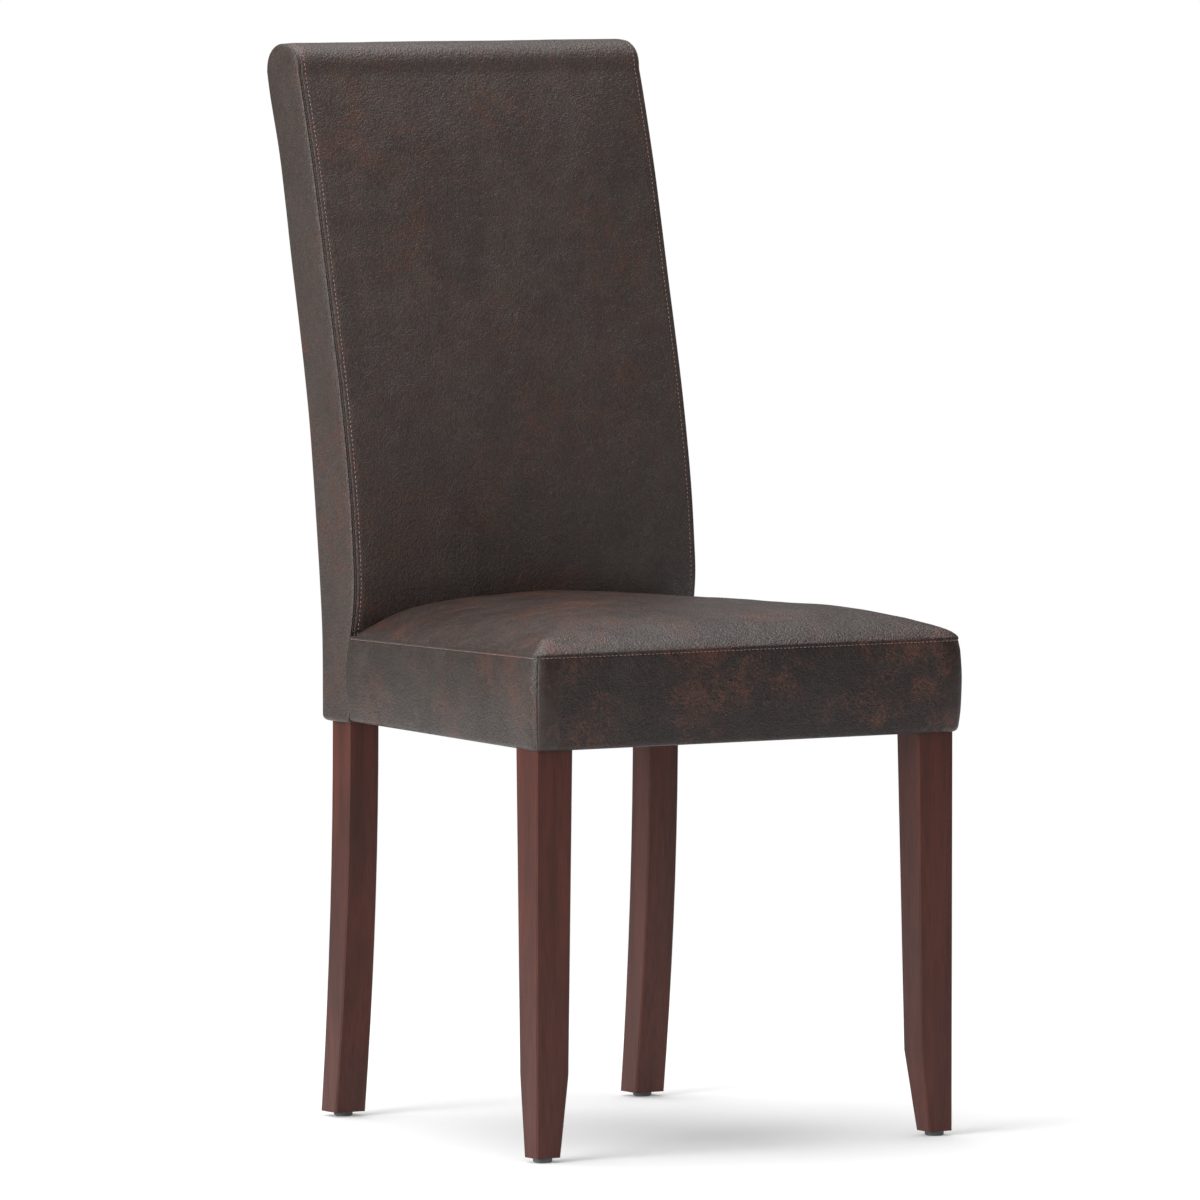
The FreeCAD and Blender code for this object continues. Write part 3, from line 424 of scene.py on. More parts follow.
class Nodes:
    """Adds and links the nodes of one node tree."""

    def __init__(self, tree: bpy.types.NodeTree) -> None:
        """Take hold of a tree.

        Args:
            tree: The tree that is filled.
        """
        self.tree = tree

    def feed(self, socket: bpy.types.NodeSocket, value: Any) -> None:
        """Link or set an input.

        Args:
            socket: The input.
            value: Another node's output, or a constant.
        """
        if isinstance(value, bpy.types.NodeSocket):
            self.tree.links.new(value, socket)
        else:
            socket.default_value = value

    def add(self, kind: str, inputs: dict[Any, Any], **settings: Any) -> bpy.types.Node:
        """Add a node.

        Args:
            kind: Its type, without the leading "ShaderNode".
            inputs: Value or link of each input, by name or number.
            settings: Properties of the node.

        Returns:
            The node.
        """
        node = self.tree.nodes.new("ShaderNode" + kind)
        for name, value in settings.items():
            setattr(node, name, value)
        self.fill(node, inputs)
        return node

    def fill(self, node: bpy.types.Node, inputs: dict[Any, Any]) -> None:
        """Link or set several inputs of a node.

        Args:
            node: The node.
            inputs: Value or link of each input, by name or number.
        """
        for name, value in inputs.items():
            self.feed(node.inputs[name], value)

    def math(self, operation: str, first: Any, second: Any = 0.0) -> bpy.types.NodeSocket:
        """Add a sum.

        Args:
            operation: Name of the operation.
            first: First number or link.
            second: Second number or link.

        Returns:
            The result.
        """
        return self.add("Math", {0: first, 1: second}, operation=operation).outputs[0]

    def total(self, *parts: tuple[Any, float]) -> Any:
        """Add up scaled values.

        Args:
            parts: Pairs of a value and its share.

        Returns:
            Their sum.
        """
        whole, *others = [self.math("MULTIPLY", value, share) for value, share in parts]
        for other in others:
            whole = self.math("ADD", whole, other)
        return whole

    def around(self, value: Any, middle: float, swing: float) -> Any:
        """Add a value that swings round a middle.

        Args:
            value: What it follows, 0 to 1.
            middle: Its mean.
            swing: How far it goes to either side.

        Returns:
            The value.
        """
        return self.math("ADD", self.math("MULTIPLY", value, 2 * swing), middle - swing)

    def bump(self, height: Any, distance: float, strength: float = 1.0) -> Any:
        """Add a raised surface.

        Args:
            height: What raises it.
            distance: How far, in metres.
            strength: How much of it shows.

        Returns:
            The new normal.
        """
        inputs = {"Strength": strength, "Distance": distance, "Height": height}
        return self.add("Bump", inputs).outputs[0]

    def step(self, value: Any, low: float, high: float) -> bpy.types.NodeSocket:
        """Add a smooth step from 0 to 1.

        Args:
            value: What is read.
            low: Where the step starts.
            high: Where it ends.

        Returns:
            The step's value.
        """
        inputs = {"Value": value, "From Min": low, "From Max": high}
        return self.add("MapRange", inputs, interpolation_type="SMOOTHSTEP").outputs[0]

    def mix(self, share: Any, first: Any, second: Any, blend: str = "MIX") -> Any:
        """Add a mix of two colours.

        Args:
            share: How much of the second colour shows.
            first: First colour.
            second: Second colour.
            blend: How they are blended.

        Returns:
            The mixed colour.
        """
        settings = {"data_type": "RGBA", "blend_type": blend}
        return self.add("Mix", {0: share, 6: first, 7: second}, **settings).outputs[2]

    def noise(self, place: Any, scale: float, detail: float = 4.0, rough: float = 0.55) -> Any:
        """Add a cloudy pattern.

        Args:
            place: Where it is read.
            scale: Patches for each metre.
            detail: Number of finer layers.
            rough: Strength of the finer layers.

        Returns:
            The pattern's value.
        """
        inputs = {"Vector": place, "Scale": scale, "Detail": detail, "Roughness": rough}
        return self.add("TexNoise", inputs).outputs[0]

    def moved(self, place: Any, shift: Sequence[float], scale: Sequence[float]) -> Any:
        """Add a shifted and stretched place.

        Args:
            place: Where a pattern would be read.
            shift: How far it is shifted.
            scale: How much it is stretched along each axis.

        Returns:
            The new place.
        """
        inputs = {"Vector": place, "Location": shift, "Scale": scale}
        return self.add("Mapping", inputs).outputs[0]


def new_group(name: str, inputs: dict[str, str], outputs: dict[str, str]) -> tuple[Any, ...]:
    """Make an empty node group.

    Args:
        name: Name of the group.
        inputs: Socket type of each input.
        outputs: Socket type of each output.

    Returns:
        The group, its node adder, its input node and its output node.
    """
    group = bpy.data.node_groups.new(name, "ShaderNodeTree")
    for in_out, sockets in (("INPUT", inputs), ("OUTPUT", outputs)):
        for label, kind in sockets.items():
            group.interface.new_socket(label, in_out=in_out, socket_type="NodeSocket" + kind)
    nodes = Nodes(group)
    entry = group.nodes.new("NodeGroupInput")
    leave = group.nodes.new("NodeGroupOutput")
    return group, nodes, entry, leave


class LeatherGroup:
    """Patterns that every leather finish shares."""

    mean_height = 1.65

    @staticmethod
    @cache
    def get() -> Any:
        """Give the group, made once.

        Returns:
            The node group.
        """
        outputs = {name: "Float" for name in ("Warm", "Grey", "Dark", "Crackle", "Height")}
        group, nodes, entry, leave = new_group("leather_wear", {"Vector": "Vector"}, outputs)
        place = entry.outputs[0]
        bend = nodes.add("TexNoise", {"Vector": place, "Scale": 30.0, "Detail": 3.0})
        pull = nodes.add("VectorMath", {0: bend.outputs[1], 1: (0.5,) * 3}, operation="SUBTRACT")
        pushed = nodes.add(
            "VectorMath", {0: pull.outputs[0], "Scale": 0.035}, operation="SCALE"
        )
        warped = nodes.add("VectorMath", {0: place, 1: pushed.outputs[0]}).outputs[0]
        patch = nodes.noise(warped, 13.0, 7.0, 0.62)
        fleck = nodes.noise(warped, 55.0, 5.0, 0.6)
        speck = nodes.noise(warped, 330.0, 4.0, 0.7)
        rust = nodes.total((patch, 0.42), (fleck, 0.25), (speck, 0.33))
        warm = nodes.step(rust, 0.50, 0.60)
        shifted = nodes.moved(warped, (3.1, 1.7, 0.4), (1.0, 1.0, 1.0))
        cloud = nodes.noise(shifted, 20.0, 6.0, 0.6)
        worn = nodes.total((cloud, 0.6), (nodes.noise(shifted, 280.0, 3.0, 0.7), 0.4))
        grey = nodes.step(worn, 0.46, 0.60)
        other = nodes.moved(place, (7.3, 4.1, 2.9), (1.0, 1.0, 1.0))
        dark = nodes.step(nodes.noise(other, 9.0, 5.0, 0.6), 0.42, 0.68)
        cells = nodes.add(
            "TexVoronoi",
            {"Vector": warped, "Scale": 270.0, "Randomness": 1.0},
            feature="DISTANCE_TO_EDGE",
        ).outputs[0]
        crack = nodes.math("SUBTRACT", 1.0, nodes.step(cells, 0.0, 0.18))
        grain = nodes.noise(place, 520.0, 3.0, 0.6)
        crease = nodes.noise(nodes.moved(place, (0.0,) * 3, (1.0, 1.0, 0.8)), 230.0, 3.0, 0.55)
        height = nodes.total((crack, -0.45), (grain, 1.8), (crease, 1.5))
        for name, value in zip(outputs, (warm, grey, dark, crack, height)):
            nodes.feed(leave.inputs[name], value)
        return group


def new_material(name: str) -> tuple[bpy.types.Material, Nodes, Any, Any]:
    """Make a material with a plain shader.

    Args:
        name: Name of the material.

    Returns:
        The material, its node adder, its shader and the place in object coordinates.
    """
    material = bpy.data.materials.new(name)
    material.use_nodes = True
    nodes = Nodes(material.node_tree)
    shader = material.node_tree.nodes["Principled BSDF"]
    place = nodes.add("TexCoord", {}).outputs["Object"]
    return material, nodes, shader, place


@dataclass(frozen=True)
class LeatherFinish:
    """Distressed leather.

    Attributes:
        name: Name of the material.
        base: Main colour.
        warm: Colour of the rubbed rusty patches.
        grey: Colour of the worn greyish patches.
        dark: How much the dark clouds show.
        warm_share: How much the rusty patches show.
        grey_share: How much the greyish patches show.
        crackle: How much the fine cracks show.
        roughness: Mean roughness.
        bump: Height of the surface pattern, in metres.
        facing: Distance from the middle past which the leather is smooth, 0 for none.
        shift: Moves the pattern, so that panels differ.
    """

    name: str
    base: Colour
    warm: Colour = srgb(84, 48, 34)
    grey: Colour = srgb(66, 57, 52)
    dark: float = 0.5
    warm_share: float = 0.75
    grey_share: float = 0.5
    crackle: float = 0.35
    roughness: float = 0.42
    bump: float = 0.0004
    facing: float = 0.0
    shift: tuple[float, float, float] = (0.0, 0.0, 0.0)

    def build(self) -> bpy.types.Material:
        """Make the material.

        Returns:
            The material.
        """
        material, nodes, shader, place = new_material(self.name)
        where = nodes.moved(place, self.shift, (1.0, 1.0, 1.0))
        wear = nodes.add("Group", {}, node_tree=LeatherGroup.get())
        nodes.feed(wear.inputs["Vector"], where)
        masks = wear.outputs
        shade = tuple(part * 0.62 for part in self.base[:3]) + (1.0,)
        colour = nodes.mix(nodes.math("MULTIPLY", masks["Dark"], self.dark), self.base, shade)
        share = nodes.math("MULTIPLY", masks["Grey"], self.grey_share)
        colour = nodes.mix(share, colour, self.grey)
        share = nodes.math("MULTIPLY", masks["Warm"], self.warm_share)
        colour = nodes.mix(share, colour, self.warm)
        rough = nodes.around(nodes.noise(where, 70.0, 3.0), self.roughness, 0.11)
        crack = nodes.math("MULTIPLY", masks["Crackle"], self.crackle)
        height = masks["Height"]
        if self.facing:
            across = nodes.math("ABSOLUTE", nodes.add("SeparateXYZ", {0: place}).outputs[0])
            open_part = nodes.step(across, self.facing + 0.002, self.facing - 0.001)
            crack = nodes.math("MULTIPLY", crack, open_part)
            level = nodes.math("SUBTRACT", height, LeatherGroup.mean_height)
            height = nodes.math("MULTIPLY", level, nodes.math("ADD", open_part, 0.35))
            rough = nodes.math("ADD", rough, nodes.math("MULTIPLY", open_part, 0.06))
        colour = nodes.mix(crack, colour, (0.4, 0.35, 0.35, 1.0), "MULTIPLY")
        look = {"Base Color": colour, "Roughness": rough, "Specular IOR Level": 0.45}
        nodes.fill(shader, look | {"Normal": nodes.bump(height, self.bump)})
        return material


@dataclass(frozen=True)
class WoodFinish:
    """Stained or raw wood, its grain upright unless stretched otherwise.

    Attributes:
        name: Name of the material.
        light: Colour between the grain lines.
        dark: Colour of the grain lines.
        roughness: Mean roughness.
        coat: Strength of the lacquer.
        along: Stretch of the pattern along X, Y and Z.
    """

    name: str
    light: Colour
    dark: Colour
    roughness: float = 0.4
    coat: float = 0.06
    along: tuple[float, float, float] = (1.0, 1.0, 0.05)

    def build(self) -> bpy.types.Material:
        """Make the material.

        Returns:
            The material.
        """
        material, nodes, shader, place = new_material(self.name)
        where = nodes.moved(place, (0.3, 0.1, 0.2), self.along)
        wide = nodes.noise(where, 60.0, 5.0, 0.6)
        fine = nodes.noise(where, 620.0, 3.0, 0.6)
        cloud = nodes.noise(nodes.moved(place, (1.0, 2.0, 3.0), (1.0, 1.0, 0.3)), 14.0, 3.0)
        lines = nodes.total((wide, 0.6), (fine, 0.4))
        colour = nodes.mix(nodes.step(lines, 0.36, 0.66), self.light, self.dark)
        shade = tuple(part * 0.6 for part in self.dark[:3]) + (1.0,)
        share = nodes.math("MULTIPLY", nodes.step(cloud, 0.5, 0.72), 0.5)
        look = {
            "Base Color": nodes.mix(share, colour, shade),
            "Roughness": nodes.around(fine, self.roughness, 0.1),
            "Specular IOR Level": 0.3,
            "Coat Weight": self.coat,
            "Coat Roughness": 0.3,
            "Normal": nodes.bump(lines, 0.0002, 0.35),
        }
        nodes.fill(shader, look)
        return material


@dataclass(frozen=True)
class PlainFinish:
    """Metal, plastic or thread with a faint cloudy colour and a fine surface.

    Attributes:
        name: Name of the material.
        colour: Main colour.
        second: Colour of its clouds.
        roughness: Mean roughness.
        metal: Metallic share.
        scale: Clouds for each metre.
        bump: Height of the fine surface, in metres.
    """

    name: str
    colour: Colour
    second: Colour
    roughness: float = 0.5
    metal: float = 0.0
    scale: float = 90.0
    bump: float = 0.0001

    def build(self) -> bpy.types.Material:
        """Make the material.

        Returns:
            The material.
        """
        material, nodes, shader, place = new_material(self.name)
        cloud = nodes.noise(place, self.scale, 4.0)
        fine = nodes.noise(place, self.scale * 12, 2.0)
        look = {
            "Base Color": nodes.mix(nodes.step(cloud, 0.35, 0.65), self.colour, self.second),
            "Metallic": self.metal,
            "Roughness": nodes.around(cloud, self.roughness, 0.1),
            "Normal": nodes.bump(fine, self.bump, 0.4),
        }
        nodes.fill(shader, look)
        return material


@dataclass(frozen=True)
class WovenFinish:
    """Webbing or dust cloth with crossing threads.

    Attributes:
        name: Name of the material.
        colour: Colour of the raised threads.
        gap: Colour between them.
        pitch: Threads for each metre.
    """

    name: str
    colour: Colour
    gap: Colour
    pitch: float

    def build(self) -> bpy.types.Material:
        """Make the material.

        Returns:
            The material.
        """
        material, nodes, shader, place = new_material(self.name)
        turn = 2 * math.pi
        apart = nodes.add("SeparateXYZ", {0: place})
        waves = [
            nodes.math("SINE", nodes.math("MULTIPLY", apart.outputs[axis], self.pitch * turn))
            for axis in (0, 1)
        ]
        height = nodes.math("MAXIMUM", waves[0], waves[1])
        colour = nodes.mix(nodes.step(height, -0.2, 0.9), self.gap, self.colour)
        cloud = nodes.noise(place, 40.0, 4.0)
        shade = nodes.math("MULTIPLY", nodes.step(cloud, 0.4, 0.7), 0.3)
        colour = nodes.mix(shade, colour, (0.4, 0.4, 0.4, 1.0), "MULTIPLY")
        look = {"Base Color": colour, "Roughness": 0.85, "Specular IOR Level": 0.2}
        nodes.fill(shader, look | {"Normal": nodes.bump(height, 0.0002, 0.5)})
        return material


class Finish(Enum):
    """Finish of each kind of surface."""

    BACK_FRONT = LeatherFinish(
        "leather_back_front", srgb(57, 46, 42), warm_share=0.42, shift=(0.13, 0.0, 0.31)
    )
    GUSSET = LeatherFinish(
        "leather_gusset", srgb(57, 48, 44), warm_share=0.4, shift=(0.4, 0.2, 0.1)
    )
    OUTSIDE = LeatherFinish("leather_outside_back", srgb(57, 48, 44), shift=(0.9, 0.3, 0.6))
    SEAT_TOP = LeatherFinish(
        "leather_seat_top", srgb(50, 38, 34), roughness=0.36, warm_share=0.8, shift=(0.2, 0.7, 0.3)
    )
    # The front band's base colour is much darker than the side band's. This is partly painted
    # shade for the front face, which turns away from the key lamp, and partly real distressing,
    # which its stronger rust and crackle also show.
    SEAT_FRONT = LeatherFinish(
        "leather_seat_front_worn_painted_shade",
        srgb(34, 22, 17),
        warm_share=0.9,
        grey_share=0.25,
        crackle=0.9,
        facing=0.2065,
        shift=(0.5, 0.1, 0.8),
    )
    # Same leather as the front band. Its base is lighter than the front band's because painted
    # shade darkens the front band's base.
    SEAT_SIDE = LeatherFinish(
        "leather_seat_side", srgb(45, 37, 33), warm_share=0.5, shift=(0.1, 0.5, 0.2)
    )
    THREAD = PlainFinish("thread", srgb(170, 132, 122), srgb(140, 104, 95), 0.6, scale=300.0)
    STAINED = WoodFinish("stained_cherry", srgb(82, 39, 29), srgb(58, 26, 19))
    RAW_LEVEL = WoodFinish(
        "raw_rail_wood", srgb(200, 168, 124), srgb(172, 136, 94), 0.7, 0.0, (0.05, 0.05, 1.0)
    )
    ZINC = PlainFinish("zinc", srgb(170, 172, 176), srgb(140, 143, 148), 0.35, 1.0)
    GREY_PLASTIC = PlainFinish("grey_plastic", srgb(84, 88, 88), srgb(72, 76, 76), 0.5)
    WEBBING = WovenFinish("webbing", srgb(150, 120, 84), srgb(84, 64, 42), 500.0)
    DUST_CLOTH = WovenFinish("dust_cloth", srgb(34, 34, 36), srgb(16, 16, 18), 1100.0)


@cache
def material_of(finish: Finish) -> bpy.types.Material:
    """Give a finish's material, made once.

    Args:
        finish: Which finish.

    Returns:
        Its material.
    """
    return finish.value.build()


class Piece:
    """Mesh that is being made, and its hand-over to the chair."""

    def __init__(self, name: str) -> None:
        """Start an empty piece.

        Args:
            name: Name of the piece.
        """
        self.name = name
        self.mesh = bmesh.new()

    def grid(self, across: Sequence[float], up: Sequence[float], place: Place) -> None:
        """Lay a grid of faces over a form.

        Args:
            across: First coordinate of each line of points.
            up: Second coordinate of each line of points.
            place: Gives the point for a pair of coordinates.
        """
        columns, rows = len(across) - 1, len(up) - 1
        made = bmesh.ops.create_grid(
            self.mesh, x_segments=columns, y_segments=rows, size=1.0
        )["verts"]
        for vert in made:
            column = round((vert.co.x + 1) / 2 * columns)
            row = round((vert.co.y + 1) / 2 * rows)
            vert.co = place(across[column], up[row])

    def weld(self, distance: float = 1e-5) -> None:
        """Merge points that lie together.

        Args:
            distance: How close they are.
        """
        bmesh.ops.remove_doubles(self.mesh, verts=self.mesh.verts, dist=distance)

    def cap(self) -> None:
        """Close every open edge loop."""
        rim = [edge for edge in self.mesh.edges if edge.is_boundary]
        bmesh.ops.holes_fill(self.mesh, edges=rim, sides=0)

    def outward(self) -> None:
        """Turn all faces outwards."""
        bmesh.ops.recalc_face_normals(self.mesh, faces=self.mesh.faces)

    def flip(self) -> None:
        """Turn all faces round."""
        bmesh.ops.reverse_faces(self.mesh, faces=self.mesh.faces)

    def finish(
        self,
        look: Finish,
        slot: str,
        replaces: Iterable[str] = (),
        wall: float = 0.0,
    ) -> bpy.types.Object:
        """slot: Not used. Material slot of the record.
            replaces: Nodes that it stands for.
            wall: Thickness that it gets inwards, 0 for none.

        Returns:
            The object.
        """
        for face in self.mesh.faces:
            face.smooth = True
        data = bpy.data.meshes.new(self.name)
        self.mesh.to_mesh(data)
        self.mesh.free()
        thing = bpy.data.objects.new(self.name, data)
        bpy.context.scene.collection.objects.link(thing)
        data.materials.append(material_of(look))
        if wall:
            modifier = thing.modifiers.new("wall", "SOLIDIFY")
            modifier.thickness = wall
            modifier.offset = -1.0
            modifier.use_even_offset = False
        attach(thing, ROOT)
        nodes = list(replaces)
        if nodes:
            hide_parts(*nodes)
        log.info("%s: %d faces, for %s", self.name, len(data.polygons), nodes or "detail")
        return thing


@dataclass(frozen=True)
class Stitching:
    """Topstitching along a line.

    Attributes:
        pitch: Distance from stitch to stitch.
        length: Length of a stitch.
        radius: Radius of the thread.
    """

    pitch: float = 4.3 * MM
    length: float = 3.3 * MM
    radius: float = 0.33 * MM

    def sew(self, piece: Piece, line: Sequence[Vector], outs: Sequence[Vector]) -> None:
        """Put stitches along a line of points.

        Args:
            piece: The piece that gets them.
            line: Points along the line.
            outs: Outward direction at each point.
        """
        rest = self.pitch / 2
        for index in range(len(line) - 1):
            start, end = line[index], line[index + 1]
            run = (end - start).length
            while rest < run:
                share = rest / run
                along = (end - start).normalized()
                out = outs[index].lerp(outs[index + 1], share)
                side = out.cross(along).normalized()
                out = along.cross(side)
                turn = Matrix((along, side, out)).transposed().to_4x4()
                size = Matrix.Diagonal((self.length / 2, self.radius, self.radius, 1.0))
                place = Matrix.Translation(start.lerp(end, share))
                bmesh.ops.create_uvsphere(
                    piece.mesh, u_segments=6, v_segments=4, radius=1.0, matrix=place @ turn @ size
                )
                rest += self.pitch
            rest -= run


@dataclass(frozen=True)
class SeatCushion:
    """Padded top of the seat.

    Attributes:
        height: Height of the crown above the seam.
        reach: How far from an edge the crown takes to rise.
        sharpness: How steeply it starts.
        floor: Height of the underside.
        lip: How far the edge lies inside the band.
        rear: Y of the cushion's rear edge.
        square: How far the crown follows the corners, high for square ones.
        tuck: How far the rear edge is pulled down.
        tuck_run: Width of the pulled part.
        puffs: Swellings of the top.
        calm: Width of the even part beside an edge.
        fold: Height of the crease at the front left corner.
        fold_width: Half its width.
        fold_run: How far it runs in.
        fold_start: Distance from the front edge to its start.
        fold_sweep: How far it then bends to the rear.
        still: Half size of the middle that the underside's edge leaves alone.
        full: Half sizes past which that edge moves in fully.
        under: How far each line under the edge lies further in and lower.
        under_last: How far the line at the floor lies further in.
        lines: Distances of the close lines of points from an edge, in millimetres.
    """

    height: float = 39 * MM
    reach: float = 55 * MM
    sharpness: float = 0.88
    floor: float = 0.438
    lip: float = 0.8 * MM
    rear: float = 0.1120
    square: float = 5.0
    tuck: float = 9 * MM
    tuck_run: float = 14 * MM
    puffs: tuple[Ripple, ...] = (Ripple(14, 14, 3.0, 1.4 * MM), Ripple(45, 45, 7.0, 0.5 * MM))
    calm: float = 25 * MM
    fold: float = 1.3 * MM
    fold_width: float = 7 * MM
    fold_run: float = 0.12
    fold_start: float = 10 * MM
    fold_sweep: float = 26 * MM
    still: float = 0.1
    full: tuple[float, float] = (0.2, 0.19)
    under: tuple[tuple[float, float], ...] = ((0.6 * MM, 1.0 * MM), (3.0 * MM, 5.0 * MM))
    under_last: float = 4.0 * MM
    lines: tuple[float, ...] = (0.4, 1.0, 2.0, 3.5, 5.5, 8.0, 11.2, 15.0, 20.0)

    def rise(self, distance: float) -> float:
        """Give how far the crown has risen near an edge.

        Args:
            distance: Distance from the edge.

        Returns:
            Share of the full height.
        """
        return 1 - math.exp(-((max(distance, 0.0) / self.reach) ** self.sharpness))

    def cut(self, inward: float) -> float:
        """Give how far a rounded front corner cuts an edge back.

        Args:
            inward: Distance from the square corner along the other edge.

        Returns:
            The distance.
        """
        radius = SEAT.corner - self.lip
        rest = radius - min(max(inward, 0.0), radius)
        return radius - math.sqrt(max(radius**2 - rest**2, 0.0))

    def edge_x(self, y: float) -> float:
        """Give half the width, with rounded front corners.

        Args:
            y: Place from front to rear.

        Returns:
            Half the width there.
        """
        return SEAT.half(y) - self.lip - self.cut(y - SEAT.front - self.lip)

    def edge_y(self, x: float) -> float:
        """Give the front edge, with rounded corners.

        Args:
            x: Place across the seat.

        Returns:
            Y of the front edge there.
        """
        return SEAT.front + self.lip + self.cut(SEAT.front_half - self.lip - abs(x))

    def top(self, across: float, y: float) -> Vector:
        """Give a point of the top.

        Args:
            across: Share of the half width, -1 to 1.
            y: Place from front to rear.

        Returns:
            The point.
        """
        x = across * self.edge_x(y)
        ways = (self.edge_x(y) + x, self.edge_x(y) - x, y - self.edge_y(x))
        near = sum(max(way, 0.05 * MM) ** -self.square for way in ways) ** (-1 / self.square)
        share = self.rise(near)
        pull = smooth(self.rear - self.tuck_run, self.rear, y) ** 2
        crown = (self.height - pull * self.tuck) * share
        puff = sum(ripple.at(x, y) for ripple in self.puffs)
        fade = smooth(0.0, self.calm, near)
        return Vector((x, y, SEAT.seam(y) + crown + (puff + self.front_fold(x, y)) * fade))

    def front_fold(self, x: float, y: float) -> float:
        """Give the soft crease that runs in from the front left corner.

        Args:
            x: Place across the seat.
            y: Place from front to rear.

        Returns:
            Its height.
        """
        run = x + SEAT.front_half
        line = SEAT.front + self.fold_start + self.fold_sweep * smooth(0.0, 0.18, run)
        away, wide = y - line, self.fold_width
        height = self.fold * math.exp(-run / self.fold_run)
        return groove(away - wide, wide, height) - groove(away, wide, height)

    def build(self) -> bpy.types.Object:
        """Make the cushion as one closed piece.

        Returns:
            The cushion.
        """
        piece = Piece("seat_cushion")
        near = in_mm(*self.lines)
        front = SEAT.front + self.lip
        rows = graded(front, self.rear, 5 * MM, near)
        sides = graded(-1.0, 1.0, 0.022, [distance / SEAT.front_half for distance in near])
        piece.grid(sides, rows, self.top)
        piece.outward()
        middle = (front + self.rear) / 2
        rim = [edge for edge in piece.mesh.edges if edge.is_boundary]
        for inset, drop in (*self.under, (self.under_last, None)):
            made = bmesh.ops.extrude_edge_only(piece.mesh, edges=rim)["geom"]
            for vert in made:
                if not isinstance(vert, bmesh.types.BMVert):
                    continue
                x, y = vert.co.x, vert.co.y - middle
                seam = SEAT.seam(vert.co.y)
                vert.co.x -= math.copysign(inset * smooth(self.still, self.full[0], abs(x)), x)
                vert.co.y -= math.copysign(inset * smooth(self.still, self.full[1], abs(y)), y)
                vert.co.z = self.floor if drop is None else min(vert.co.z, seam) - drop
            rim = [item for item in made if isinstance(item, bmesh.types.BMEdge)]
            rim = [edge for edge in rim if edge.is_boundary]
        piece.cap()
        piece.outward()
        cushion = piece.finish(Finish.SEAT_TOP, "brown_leather", ("seat_cover_top", "seat_foam"))
        return cushion


